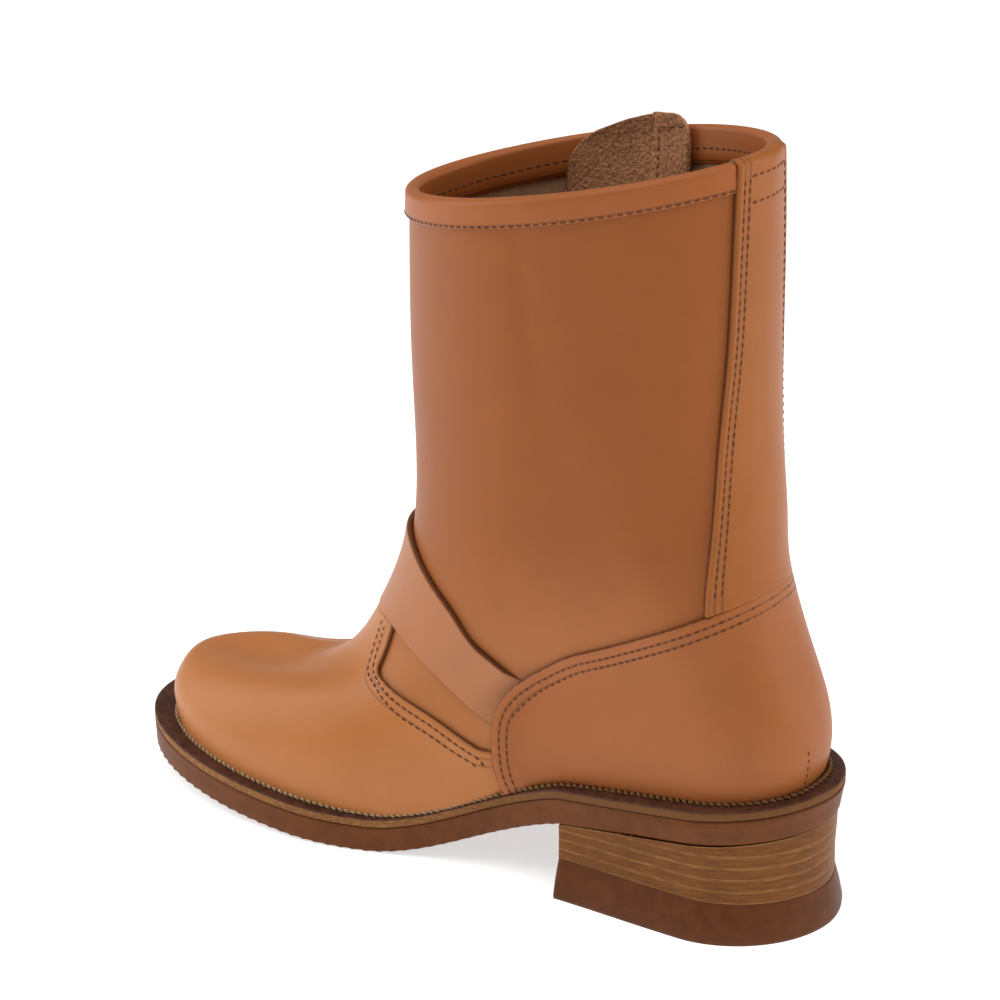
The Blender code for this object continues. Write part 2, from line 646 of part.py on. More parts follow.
def build_backstay():
    """Strip up the back seam, folded over the rim and down inside."""
    up = (BACKSTAY_FOOT, 6.1, 6.4, 6.7, 7.0, 7.3, 7.6, 8.0, 8.5, 9.1, 9.8, 10.35, 10.95, 11.5, RIM_T)
    share = np.linspace(-1, 1, 9)
    outer = []
    inner = []
    for t in up:
        half = table(BACKSTAY_HALF, t)
        outer.append(surface(t, share * half, PANEL_GAP + PANEL))
        inner.append(surface(t, share * half, PANEL_GAP))
    half = table(BACKSTAY_HALF, RIM_T)
    lining = -WALL - GAP
    inside = lining - PANEL - 0.1
    fold = ((ROLL - 0.1, 0.9, PANEL_GAP), (ROLL + 0.3, -WALL / 2, -WALL / 2),
            (ROLL - 0.1, -WALL - 0.9, lining))
    for rise, off_out, off_in in fold:
        outer.append(surface(RIM_T + rise / RIM_STEP, share * half, off_out))
        inner.append(surface(RIM_T + 0.5 / RIM_STEP, share * half, off_in))
    for drop in (0.0, BACKSTAY_INSIDE):
        outer.append(surface(RIM_T - drop / RIM_STEP, share * half, inside))
        inner.append(surface(RIM_T - drop / RIM_STEP, share * half, lining))
    return shell("backstay", np.stack(outer), np.stack(inner), "backstay")


def build_binding(name, start, end, count):
    """Rolled leather edge over the rim, from v = start to v = end."""
    v = np.linspace(start, end, count)
    low = PANEL_GAP + 0.15
    outside = low + BINDING
    lining = -WALL - PANEL_GAP
    inside = lining - BINDING + 0.1
    middle = -WALL / 2
    outer_line = ((-BINDING_DROP, outside), (0.0, outside), (ROLL - 0.6, outside - 0.6), (ROLL, middle),
                  (ROLL - 0.6, inside + 0.6), (0.0, inside), (-BINDING_DROP, inside))
    inner_line = ((-BINDING_DROP, low), (0.0, low), (0.4, low), (0.4, middle), (0.4, lining),
                  (0.0, lining), (-BINDING_DROP, lining))
    outer = np.stack([surface(RIM_T + h / RIM_STEP, v, o) for h, o in outer_line])
    inner = np.stack([surface(RIM_T + h / RIM_STEP, v, o) for h, o in inner_line])
    return shell(name, outer, inner, "binding")


def build_bindings():
    """The binding is parted by the backstay and by the slit."""
    stay = table(BACKSTAY_HALF, RIM_T) + BINDING_PART
    build_binding("binding_medial", stay, SLIT_V - SLIT_HALF, 31)
    build_binding("binding_lateral", SLIT_V + SLIT_HALF, 1.0 - stay, 10)


def build_flap():
    """Suede gusset flap behind the slit, standing off the wall at its front."""
    a = np.linspace(0, 1, 9)
    b = np.linspace(0, 1, 9)
    bb, aa = np.meshgrid(b, a, indexing="ij")
    # aa runs from the free front edge to the sewn back edge.
    corner = 0.30 * (1 - np.clip(aa / 0.22, 0, 1)) ** 2 + 0.12 * np.clip((aa - 0.86) / 0.14, 0, 1) ** 2
    top = RIM_T + FLAP_RISE / RIM_STEP - corner
    tt = FLAP_BOTTOM + (top - FLAP_BOTTOM) * bb
    vv = FLAP_FRONT + (FLAP_BACK - FLAP_FRONT) * aa
    stand = -WALL - FLAP_STAND - FLAP_LEAN * (1 - smooth(aa / 0.7)) * bb
    return shell("gusset_flap", surface(tt, vv, stand), surface(tt, vv, stand - FLAP), "suede")


def collar_place(u, w):
    """(t, v) on the collar strap: u from 0 front to 1 back on the lateral side."""
    u = np.asarray(u, float)
    v = COLLAR_STRAP_START + COLLAR_STRAP_TURN * u
    return COLLAR_STRAP_T + COLLAR_STRAP_HALF * (2 * np.asarray(w, float) - 1), v


def collar_rise(u):
    """Underside of the collar strap: up over the buckle's bar, then down on its anchor."""
    return lift_line(u, 0.46, 0.60, STRAP_LOW, 4.2) - lift_line(u, 0.66, 0.80, 0.0, 1.1)


def instep_rise(u):
    """Underside of the instep strap, as for the collar strap."""
    return lift_line(u, 0.745, 0.800, STRAP_LOW, 4.2) - lift_line(u, 0.830, 0.88, 0.0, 1.1)


def build_straps():
    """Two straps, each with its buckle and the short anchor strap that holds the buckle."""
    w = np.linspace(0.06, 0.94, 5)
    u = np.concatenate([np.linspace(0.004, 0.72, 27), [0.748, 0.772, 0.795, 0.82, 0.845, 0.87, 0.90]])
    build_strap("instep_strap", strap_place, u, 27, instep_rise, "strap")
    buckle("instep", strap_place, 0.820, 0.726, 0.757, 2.7, 0.115)
    uu, ww = np.meshgrid(np.linspace(0.842, 0.994, 8), w, indexing="ij")
    shell("instep_anchor", band_point(strap_place, uu, ww, STRAP_LOW + ANCHOR),
          band_point(strap_place, uu, ww, STRAP_LOW), "strap")
    u = np.concatenate([np.linspace(0, 0.40, 9), [0.45, 0.485, 0.535, 0.59, 0.65, 0.71, 0.79, 0.87]])
    build_strap("collar_strap", collar_place, u, 10, collar_rise, "strap")
    buckle("collar", collar_place, 0.630, 0.430, 0.515, 1.9, 0.10)
    uu, ww = np.meshgrid(np.linspace(0.660, 1.0, 7), w, indexing="ij")
    shell("collar_anchor", band_point(collar_place, uu, ww, STRAP_LOW + ANCHOR),
          band_point(collar_place, uu, ww, STRAP_LOW), "strap")


def build_insole():
    """Insole board inside the upper, on the outsole."""
    v = np.linspace(0, 0.5, 200)
    left = surface(0.0, v, -WALL - 0.7)
    right = surface(0.0, 1 - v, -WALL - 0.7)
    rows = sole_rows()
    first = max(left[0, 1], right[0, 1])
    last = min(left[-1, 1], right[-1, 1])
    s = np.unique(np.concatenate([[first], rows[(rows > first + 1.5) & (rows < last - 1.5)], [last]]))
    x_left = np.interp(s, left[:, 1], left[:, 0])
    x_right = np.interp(s, right[:, 1], right[:, 0])
    height = sole_under(s) + SOLE_THICK
    top = (x_left, x_right, s, height + GAP + WELT_THICK + INSOLE_TOP)
    under = (x_left, x_right, s, height + GAP)
    return slab("insole", s, top, under, 3, "insole")


def make_material(name, colour, rough, metal=0.0):
    mat = bpy.data.materials.new(name)
    mat.use_nodes = True
    node = mat.node_tree.nodes["Principled BSDF"]
    node.inputs["Base Color"].default_value = (*colour, 1.0)
    node.inputs["Roughness"].default_value = rough
    node.inputs["Metallic"].default_value = metal
    return mat


for old in list(bpy.data.objects):
    bpy.data.objects.remove(old, do_unlink=True)

BOOT = bpy.data.collections.new("engineer_boot")
bpy.context.scene.collection.children.link(BOOT)

MATERIALS = {
    "upper": make_material("upper", (0.46, 0.20, 0.09), 0.5),
    "vamp": make_material("vamp", (0.53, 0.25, 0.11), 0.45),
    "counter": make_material("counter", (0.50, 0.22, 0.10), 0.5),
    "backstay": make_material("backstay", (0.46, 0.19, 0.09), 0.5),
    "binding": make_material("binding", (0.47, 0.20, 0.10), 0.5),
    "strap": make_material("strap", (0.50, 0.23, 0.11), 0.5),
    "suede": make_material("suede", (0.30, 0.17, 0.10), 0.9),
    "insole": make_material("insole", (0.50, 0.30, 0.17), 0.7),
    "welt": make_material("welt", (0.16, 0.08, 0.05), 0.5),
    "outsole": make_material("outsole", (0.14, 0.06, 0.03), 0.6),
    "heel_stack": make_material("heel_stack", (0.20, 0.10, 0.04), 0.5),
    "heel_rubber": make_material("heel_rubber", (0.13, 0.05, 0.03), 0.6),
    "metal": make_material("metal", (0.62, 0.50, 0.30), 0.3, 1.0),
}

build_outsole()
build_welt()
build_heel()
build_insole()
build_upper()
build_counter()
build_vamp()
build_backstay()
build_bindings()
build_flap()
build_straps()
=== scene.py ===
# Engineer boot, right foot: the finished look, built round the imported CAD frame.
# Lengths are in millimetres until a mesh is made. s runs along the foot from the back of
# the outsole, x is across (medial is negative) and z is up.

import math

import bpy
import numpy as np
from mathutils import Matrix, Vector


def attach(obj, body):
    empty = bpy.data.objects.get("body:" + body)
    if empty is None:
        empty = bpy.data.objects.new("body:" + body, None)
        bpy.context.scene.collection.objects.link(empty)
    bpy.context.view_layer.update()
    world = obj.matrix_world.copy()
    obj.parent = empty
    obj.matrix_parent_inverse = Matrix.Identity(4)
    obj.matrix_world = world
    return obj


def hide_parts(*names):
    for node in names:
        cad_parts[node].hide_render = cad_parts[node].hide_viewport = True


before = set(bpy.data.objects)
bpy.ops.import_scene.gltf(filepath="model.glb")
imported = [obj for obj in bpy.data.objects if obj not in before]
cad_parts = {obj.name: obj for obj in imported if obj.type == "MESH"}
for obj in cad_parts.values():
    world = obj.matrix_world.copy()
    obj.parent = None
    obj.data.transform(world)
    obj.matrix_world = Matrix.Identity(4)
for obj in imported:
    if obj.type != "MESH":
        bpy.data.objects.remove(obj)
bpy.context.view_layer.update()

MM = 0.001
RNG = np.random.default_rng(7)

# Outsole plan, as in the part's source
LENGTH = 300.0
HEEL_HALF = 36.5
HEEL_STATION = 42.0
WAIST_MEDIAL = 33.6
WAIST_LATERAL = 36.0
WAIST_STATION = 122.0
BALL_MEDIAL = 51.8
BALL_MEDIAL_STATION = 209.0
BALL_LATERAL = 53.0
BALL_LATERAL_STATION = 190.0
HEEL_ROUND = 1.9
TOE_ROUND = 2.12
TOE_IN = 2.6

# Sole heights
SOLE_THICK = 10.4
WELT_THICK = 3.6
BREAST_S = 95.4
BREAST_Z = 28.5
BACK_Z = 41.4
SHANK_SLOPE = -0.28
FLAT_START = 176.0
FLAT_END = 181.0
TOE_SPRING = 10.0
TOE_CURVE = 1.5
SOLE_BEVEL = 1.6

# Heel: a rubber top lift below five leather lifts, the last one a wedge; JOIN is half a joint
TOP_LIFT = 14.8
LIFT_FRONT = 3.9
LIFT_BACK = 4.6
WEDGE_FRONT = 66.0
HEEL_BOTTOM_HALF = 39.6
HEEL_WAIST_HALF = 35.4
HEEL_BACK_BOTTOM = 0.8
HEEL_BACK_WAIST = 3.6
HEEL_FOOT = 3.0
HEEL_WAIST_TOP = 24.0
HEEL_WAIST_IN = 0.3
HEEL_SEAT_IN = 1.4
HEEL_SEAT_BACK = 2.2
HEEL_BREAST_IN = 1.2
JOIN = 0.03

# Leather and clearances
GAP = 0.3
WALL = 2.2
PANEL = 2.1
BINDING_DROP = 9.0
ROLL = 2.0
STRAP = 2.6
STRAP_LOW = 0.85
STRAP_REST = 0.3
STRAP_THIN = 2.3
ANCHOR = 1.8
FLAP = 1.8
WIRE = 1.4

# The upper's outer surface. Each row is one closed ring through a back point (yb, zb)
# and a front point (yf, zf). sh and wh place the half-width at the heel, sb, wbm and wbl
# at the ball or the shaft's widest place (medial, lateral), pm and pl pinch the waist,
# dip says how far the ring follows the sole's own curve, nb and nf round its two ends,
# and cx and cf shift its middle sideways at the back and at the front.
# The columns are shares of the sizes named in UPPER_SIZES.
RIM_Z = 280.4
FRONT_IN = 4.4
UPPER_COLUMNS = ("yb", "zb", "yf", "zf", "sh", "wh", "sb", "wbm", "wbl", "pm", "pl",
                 "dip", "nb", "nf", "cx", "cf")
UPPER_SIZES = (LENGTH, RIM_Z, LENGTH, RIM_Z, LENGTH, HEEL_HALF, LENGTH, BALL_MEDIAL, BALL_LATERAL,
               WAIST_MEDIAL, WAIST_LATERAL, 1.0, 1.0, 1.0, FRONT_IN, FRONT_IN)
UPPER_ROWS = (
    (0.035, 0.196, 0.950, 0.082, 0.143, 0.751, 0.677, 0.819, 0.815, 0.18, 0.08, 1.0, 2.2, 2.1, 0.0, -1.14),
    (0.029, 0.235, 0.953, 0.121, 0.143, 0.800, 0.667, 0.842, 0.792, 0.18, 0.08, 0.8, 2.2, 2.2, 0.0, -1.14),
    (0.034, 0.278, 0.947, 0.143, 0.143, 0.825, 0.650, 0.786, 0.700, 0.15, 0.08, 0.6, 2.2, 2.2, 0.0, -1.14),
    (0.047, 0.321, 0.934, 0.159, 0.150, 0.816, 0.613, 0.672, 0.560, 0.12, 0.08, 0.4, 2.2, 2.0, 0.0, -1.02),
    (0.064, 0.367, 0.887, 0.159, 0.160, 0.811, 0.563, 0.587, 0.515, 0.09, 0.06, 0.25, 2.2, 1.7, 0.0, -0.8),
    (0.080, 0.421, 0.802, 0.165, 0.177, 0.836, 0.513, 0.552, 0.520, 0.06, 0.03, 0.1, 2.1, 1.6, 0.0, -0.57),
    (0.091, 0.478, 0.703, 0.211, 0.193, 0.863, 0.467, 0.583, 0.585, 0.03, 0.0, 0.0, 2.0, 1.6, 0.0, -0.34),
    (0.094, 0.535, 0.632, 0.309, 0.217, 0.937, 0.417, 0.656, 0.660, 0.0, 0.0, 0.0, 2.0, 1.8, 0.0, -0.23),
    (0.098, 0.599, 0.585, 0.424, 0.250, 1.014, 0.373, 0.730, 0.723, 0.0, 0.0, 0.0, 2.0, 1.9, 0.0, -0.11),
    (0.103, 0.685, 0.573, 0.550, 0.283, 1.118, 0.357, 0.807, 0.789, 0.0, 0.0, 0.0, 2.0, 1.9, 0.0, 0.0),
    (0.105, 0.785, 0.572, 0.670, 0.307, 1.222, 0.350, 0.882, 0.862, 0.0, 0.0, 0.0, 2.0, 1.9, 0.0, 0.0),
    (0.104, 0.892, 0.567, 0.794, 0.317, 1.315, 0.347, 0.946, 0.925, 0.0, 0.0, 0.0, 1.95, 1.8, -0.11, -0.45),
    (0.103, 1.000, 0.550, 0.913, 0.320, 1.441, 0.340, 1.015, 1.019, 0.0, 0.0, 0.0, 1.75, 1.95, -0.14, -0.82),
)
RIM_T = len(UPPER_ROWS) - 1.0
RIM_STEP = 33.0

# Panel edges in surface coordinates: t climbs from the welt to the rim, and v goes
# round from the back centre (0) over the medial side to the front (0.5).
# TURN is how many steps of t one round of v is as long as.
TURN = 18.0
COUNTER_FRONT = ((0.0, 0.2030), (0.5, 0.2071), (1.6, 0.2117), (2.6, 0.2137),
                 (3.5, 0.2110), (4.3, 0.2056), (6.0, 0.2030))
COUNTER_TOP = ((0.0, 5.60), (0.30, 5.54), (0.60, 5.31), (0.81, 5.06), (0.93, 4.72), (1.0, 4.15))
VAMP_EDGE = ((0.0, 0.2060), (0.7, 0.2108), (1.4, 0.2165), (2.0, 0.2320), (2.6, 0.2510),
             (3.75, 0.2960), (4.6, 0.3330), (5.4, 0.3740), (6.06, 0.4060), (6.6, 0.4205))
STRAP_UPPER = ((4.10, 0.2105), (5.34, 0.2593), (6.19, 0.3010), (6.84, 0.3335),
               (7.30, 0.3660), (7.72, 0.4046), (8.05, 0.4480), (8.20, 0.5000))
STRAP_LOWER = ((2.40, 0.2170), (3.20, 0.2385), (4.20, 0.2690), (5.00, 0.3000),
               (5.67, 0.3351), (6.25, 0.3750), (6.75, 0.4250), (7.00, 0.5000))
BACKSTAY_HALF = ((5.5, 0.0665), (7.0, 0.0680), (8.75, 0.0610), (9.8, 0.0515),
                 (11.05, 0.0465), (12.5, 0.0400))
BACKSTAY_FOOT = 5.90
BACKSTAY_INSIDE = 14.0
VAMP_TOP = 6.6
COUNTER_CORNER = 3.9
COUNTER_OVER = 1.7
INSIDE_DROP = 13.0

# Shallow hollow behind the toe box: its depth, its place in t and v, and how far it spreads
TOE_HOLLOW = 4.6
HOLLOW_T = 3.8
HOLLOW_V = 0.590
HOLLOW_TALL = 1.3
HOLLOW_WIDE = 0.030

# Panels lie this high over the wall; AWAY marks skin that is far from any cut edge.
# One round of v is about this many millimetres at the shaft and at the foot.
LAID = 0.25
AWAY = 50.0
SHAFT_ROUND = 400.0
FOOT_ROUND = 450.0

# Stitching: distances of the rows from the edges, then pitch, width and filled share
VAMP_SEAMS = (3.0, 6.2)
COUNTER_SEAMS = (3.4, 6.3)
STAY_SEAMS = (3.1, 5.4)
SEAM_PITCH = 3.1
SEAM_WIDE = 0.8
SEAM_FILL = 0.86

# Slit, gusset flap and collar strap on the lateral side
SLIT_V = 0.7708
SLIT_HALF = 0.0030
SLIT_BOTTOM = 10.35
FLAP_FRONT = 0.652
FLAP_BACK = 0.792
FLAP_BOTTOM = 10.1
FLAP_RISE = 7.0
FLAP_STAND = 2.6
FLAP_LEAN = 4.0
FLAP_TOP = ((0.0, 17.0), (0.02, 12.0), (0.05, 9.0), (0.10, 6.5), (0.20, 3.9), (0.45, 1.4), (0.60, 0.6),
            (0.72, 0.2), (0.82, 0.4), (0.88, 1.4), (0.93, 3.3), (0.97, 6.5), (0.99, 10.0), (1.0, 14.0))
COLLAR_STRAP_T = 10.95
COLLAR_STRAP_HALF = 0.30
COLLAR_STRAP_START = 0.630
COLLAR_STRAP_TURN = 0.300

# The photograph's camera: distances in millimetres, angles in degrees
CAMERA_AZIMUTH = -56.5
CAMERA_ELEVATION = 22.3
CAMERA_ROLL = -1.2
CAMERA_FAR = 1100.0
CAMERA_TARGET = (140.5, 135.0)
CAMERA_SENSOR = 36.0
CAMERA_LENS = 2.995 * CAMERA_SENSOR


def spline(x, y, at):
    """Natural cubic spline through the rows y at the places x."""
    x = np.asarray(x, float)
    y = np.asarray(y, float)
    n = len(x)
    h = np.diff(x)
    matrix = np.zeros((n, n))
    right = np.zeros(y.shape)
    matrix[0, 0] = 1.0
    matrix[-1, -1] = 1.0
    for i in range(1, n - 1):
        matrix[i, i - 1] = h[i - 1]
        matrix[i, i] = 2.0 * (h[i - 1] + h[i])
        matrix[i, i + 1] = h[i]
        right[i] = 6.0 * ((y[i + 1] - y[i]) / h[i] - (y[i] - y[i - 1]) / h[i - 1])
    bend = np.linalg.solve(matrix, right)
    k = np.clip(np.searchsorted(x, at, side="right") - 1, 0, n - 2)
    a = (x[k + 1] - at)[:, None]
    b = (at - x[k])[:, None]
    hk = h[k][:, None]
    low = bend[k] * a ** 3 / (6 * hk) + (y[k] / hk - bend[k] * hk / 6) * a
    high = bend[k + 1] * b ** 3 / (6 * hk) + (y[k + 1] / hk - bend[k + 1] * hk / 6) * b
    return low + high


def curve(rows, at):
    """Points of a smooth curve through (t, v) rows; at goes from 0 to 1 along its length."""
    rows = np.asarray(rows, float)
    step = np.hypot(np.diff(rows[:, 0]), TURN * np.diff(rows[:, 1]))
    knots = np.concatenate([[0.0], np.cumsum(step)])
    return spline(knots / knots[-1], rows, np.asarray(at, float))


def table(rows, at):
    """Second column of a smooth line through rows where the first column has the value at."""
    rows = np.asarray(rows, float)
    at = np.asarray(at, float)
    flat = np.clip(at.reshape(-1), rows[0, 0], rows[-1, 0])
    return spline(rows[:, 0], rows[:, 1:], flat).reshape(at.shape)


def smooth(u):
    """Ease from 0 to 1."""
    u = np.clip(u, 0, 1)
    return u * u * (3.0 - 2.0 * u)


def sole_half(s, side):
    """Half-width of the outsole at s; side is -1 medial, 1 lateral."""
    s = np.asarray(s, float)
    medial = side < 0
    waist = WAIST_MEDIAL if medial else WAIST_LATERAL
    ball = BALL_MEDIAL if medial else BALL_LATERAL
    station = BALL_MEDIAL_STATION if medial else BALL_LATERAL_STATION
    back = np.clip((HEEL_STATION - s) / HEEL_STATION, 0, 1)
    front = np.clip((s - station) / (LENGTH - station), 0, 1)
    heel = HEEL_HALF * (1 - back ** HEEL_ROUND) ** (1 / HEEL_ROUND)
    to_waist = (s - HEEL_STATION) / (WAIST_STATION - HEEL_STATION)
    to_ball = (s - WAIST_STATION) / (station - WAIST_STATION)
    middle = HEEL_HALF + (waist - HEEL_HALF) * smooth(to_waist) + (ball - waist) * smooth(to_ball)
    toe = ball * (1 - front ** TOE_ROUND) ** (1 / TOE_ROUND)
    return np.where(s < HEEL_STATION, heel, np.where(s < station, middle, toe))


def sole_middle(s):
    """Sideways shift of the sole's centre line."""
    u = np.clip((np.asarray(s, float) - BALL_MEDIAL_STATION) / (LENGTH - BALL_MEDIAL_STATION), 0, 1)
    return -TOE_IN * u * u


def sole_under(s):
    """Height of the outsole's underside."""
    s = np.asarray(s, float)
    slope = (BREAST_Z - BACK_Z) / BREAST_S
    seat = BACK_Z + slope * s
    run = FLAT_START - BREAST_S
    u = np.clip((s - BREAST_S) / run, 0, 1)
    shank = BREAST_Z * (2 * u ** 3 - 3 * u ** 2 + 1) + SHANK_SLOPE * run * (u ** 3 - 2 * u ** 2 + u)
    toe = TOE_SPRING * np.clip((s - FLAT_END) / (LENGTH - FLAT_END), 0, 1) ** TOE_CURVE
    return np.where(s < BREAST_S, seat, np.where(s < FLAT_START, shank, toe))


def welt_top(s):
    """Height of the welt's upper face."""
    return sole_under(s) + SOLE_THICK + GAP + WELT_THICK


def ring_side(row, side, count):
    """One half of a ring of the upper, from its back point to its front point."""
    c = dict(zip(UPPER_COLUMNS, row))
    q = (1 - np.cos(np.linspace(0, math.pi, count))) / 2
    s = c["yb"] + (c["yf"] - c["yb"]) * q
    ball = c["wbm"] if side < 0 else c["wbl"]
    pinch = c["pm"] if side < 0 else c["pl"]
    back = np.clip((c["sh"] - s) / (c["sh"] - c["yb"]), 0, 1)
    front = np.clip((s - c["sb"]) / (c["yf"] - c["sb"]), 0, 1)
    u = np.clip((s - c["sh"]) / (c["sb"] - c["sh"]), 0, 1)
    heel = c["wh"] * (1 - back ** c["nb"]) ** (1 / c["nb"])
    middle = c["wh"] + (ball - c["wh"]) * smooth(u) - pinch * 16 * (u * (1 - u)) ** 2
    toe = ball * (1 - front ** c["nf"]) ** (1 / c["nf"])
    half = np.where(s < c["sh"], heel, np.where(s < c["sb"], middle, toe))
    ends = welt_top(c["yb"]) * (1 - q) + welt_top(c["yf"]) * q
    z = c["zb"] * (1 - q) + c["zf"] * q + c["dip"] * (welt_top(s) - ends)
    x = c["cx"] + (c["cf"] - c["cx"]) * q * q + side * half
    return np.stack([x, s, z], 1)


def unit(rows, tiny=0.0):
    """Rows scaled to length 1."""
    return rows / (np.linalg.norm(rows, axis=-1, keepdims=True) + tiny)


def run_of(points):
    """Distance along a line at each of its points."""
    step = np.linalg.norm(np.diff(points, axis=0), axis=1)
    return np.concatenate([[0.0], np.cumsum(step)])


def between(at, run, rows):
    """Rows read off at places along their run."""
    return np.stack([np.interp(at, run, rows[:, i]) for i in range(rows.shape[1])], 1)


def even(points, count):
    """Place points evenly along a line."""
    run = run_of(points)
    return between(np.linspace(0, run[-1], count), run, points)


FINE_T = 289
FINE_V = 360


def upper_grid():
    """Fine grid of the upper's outer surface and of its outward normals."""
    t = np.linspace(0, RIM_T, FINE_T)
    rows = spline(np.arange(len(UPPER_ROWS)), np.array(UPPER_ROWS) * np.array(UPPER_SIZES), t)
    grid = np.zeros((FINE_T, 2 * FINE_V + 1, 3))
    for i, row in enumerate(rows):
        grid[i, :FINE_V + 1] = even(ring_side(row, -1, 240), FINE_V + 1)
        grid[i, FINE_V:] = even(ring_side(row, 1, 240), FINE_V + 1)[::-1]
    v = np.linspace(0, 1, 2 * FINE_V + 1)[None]
    tall = ((t[:, None] - HOLLOW_T) / HOLLOW_TALL) ** 2
    wide = ((v - HOLLOW_V) / HOLLOW_WIDE) ** 2
    grid[..., 2] -= TOE_HOLLOW * np.exp(-tall - wide)
    along = np.gradient(grid, axis=0)
    around = np.empty_like(grid)
    around[:, 1:-1] = grid[:, 2:] - grid[:, :-2]
    around[:, 0] = grid[:, 1] - grid[:, -2]
    around[:, -1] = around[:, 0]
    normal = unit(np.cross(around, along))
    middle = grid[:, :, :2].mean(axis=1, keepdims=True)
    outward = np.sum(normal[:, :, :2] * (grid[:, :, :2] - middle), axis=2)
    if np.median(outward) < 0:
        normal = -normal
    return grid, normal


GRID, NORMAL = upper_grid()


def sample(field, t, v):
    """Value of a grid field at surface coordinates."""
    a = np.clip(t, 0, RIM_T) / RIM_T * (FINE_T - 1)
    b = np.mod(v, 1.0) * 2 * FINE_V
    i = np.clip(a.astype(int), 0, FINE_T - 2)
    j = np.clip(b.astype(int), 0, 2 * FINE_V - 1)
    a = (a - i)[..., None]
    b = (b - j)[..., None]
    low = field[i, j] * (1 - b) + field[i, j + 1] * b
    high = field[i + 1, j] * (1 - b) + field[i + 1, j + 1] * b
    return low * (1 - a) + high * a


def normal_at(t, v):
    """Outward normals at surface coordinates."""
    return unit(sample(NORMAL, t, v))


def surface(t, v, off=0.0):
    """Points on the upper at (t, v), moved out by off; above the rim it goes straight up."""
    t, v, off = np.broadcast_arrays(np.asarray(t, float), np.asarray(v, float), off)
    point = sample(GRID, t, v) + normal_at(t, v) * np.asarray(off)[..., None]
    point[..., 2] += np.clip(t - RIM_T, 0, None) * RIM_STEP
    return point


def inset(line, distance):
    """Move a line of (t, v) sideways on the surface by a distance; positive is to its left."""
    t, v = line[:, 0], line[:, 1]
    step = 0.02
    by_t = (surface(t + step, v) - surface(t - step, v)) / (2 * step)
    by_v = (surface(t, v + step * 0.05) - surface(t, v - step * 0.05)) / (0.1 * step)
    ahead = unit(np.gradient(surface(t, v), axis=0), 1e-9)
    side = np.cross(normal_at(t, v), ahead) * distance
    tt = np.sum(by_t * by_t, 1)
    vv = np.sum(by_v * by_v, 1)
    tv = np.sum(by_t * by_v, 1)
    at = np.sum(by_t * side, 1)
    av = np.sum(by_v * side, 1)
    det = tt * vv - tv * tv
    return np.stack([t + (at * vv - av * tv) / det, v + (av * tt - at * tv) / det], 1)


def distance_to(points, line):
    """Distance from each point to a polyline of points."""
    flat = points.reshape(-1, 3)
    line = even(line, max(60, int(np.sum(np.linalg.norm(np.diff(line, axis=0), axis=1)) / 0.7)))
    best = np.full(len(flat), 1e9)
    for k in range(0, len(line), 40):
        part = line[k:k + 40]
        gap = np.sum((flat[:, None, :] - part[None]) ** 2, axis=2).min(axis=1)
        best = np.minimum(best, gap)
    return np.sqrt(best).reshape(points.shape[:-1])


# Meshes

def make(name, points, faces, materials, replaces=(), slot=None, attributes=None, faces_from=None):
    """Mesh object in metres that rides on the root body."""
    mesh = bpy.data.meshes.new(name)
    placed = (np.asarray(points, float) - np.array([0.0, LENGTH / 2, 0.0])) * MM
    faces = [np.asarray(f) for f in faces if len(f)]
    sizes = np.concatenate([np.full(len(f), f.shape[1]) for f in faces])
    corners = np.concatenate([f.reshape(-1) for f in faces])
    mesh.vertices.add(len(placed))
    mesh.vertices.foreach_set("co", placed.reshape(-1))
    mesh.loops.add(len(corners))
    mesh.loops.foreach_set("vertex_index", corners.astype(np.int32))
    mesh.polygons.add(len(sizes))
    starts = np.concatenate([[0], np.cumsum(sizes)[:-1]])
    mesh.polygons.foreach_set("loop_start", starts.astype(np.int32))
    mesh.polygons.foreach_set("use_smooth", np.ones(len(sizes), bool))
    for material in materials:
        mesh.materials.append(material)
    if faces_from is not None:
        kinds = np.concatenate([np.full(len(f), faces_from[k]) for k, f in enumerate(faces)])
        mesh.polygons.foreach_set("material_index", kinds.astype(np.int32))
    mesh.update(calc_edges=True)
    mesh.validate()
    for key, values in (attributes or {}).items():
        layer = mesh.attributes.new(key, "FLOAT", "POINT")
        layer.data.foreach_set("value", np.asarray(values, np.float32).reshape(-1))
    obj = bpy.data.objects.new(name, mesh)
    bpy.context.scene.collection.objects.link(obj)
    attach(obj, "root")
    if replaces:
        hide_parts(*replaces)
    return obj


def shell_faces(rows, cols, closed=False, mask=None):
    """Faces of a solid between two grids: outer, inner and the walls at free edges."""
    cells = cols if closed else cols - 1
    if mask is None:
        mask = np.ones((rows - 1, cells), bool)
    i, j = np.nonzero(mask)
    a = i * cols + j
    b = i * cols + (j + 1) % cols
    c = b + cols
    d = a + cols
    n = rows * cols
    below = np.vstack([np.zeros((1, cells), bool), mask[:-1]])[i, j]
    above = np.vstack([mask[1:], np.zeros((1, cells), bool)])[i, j]
    if closed:
        ahead = np.roll(mask, -1, axis=1)[i, j]
        behind = np.roll(mask, 1, axis=1)[i, j]
    else:
        none = np.zeros((rows - 1, 1), bool)
        ahead = np.hstack([mask[:, 1:], none])[i, j]
        behind = np.hstack([none, mask[:, :-1]])[i, j]
    walls = []
    for p, q, there in ((a, b, below), (b, c, ahead), (c, d, above), (d, a, behind)):
        free = ~there
        walls.append(np.stack([q[free], p[free], p[free] + n, q[free] + n], 1))
    return [np.stack([a, b, c, d], 1), np.stack([d, c, b, a], 1) + n, np.concatenate(walls)]


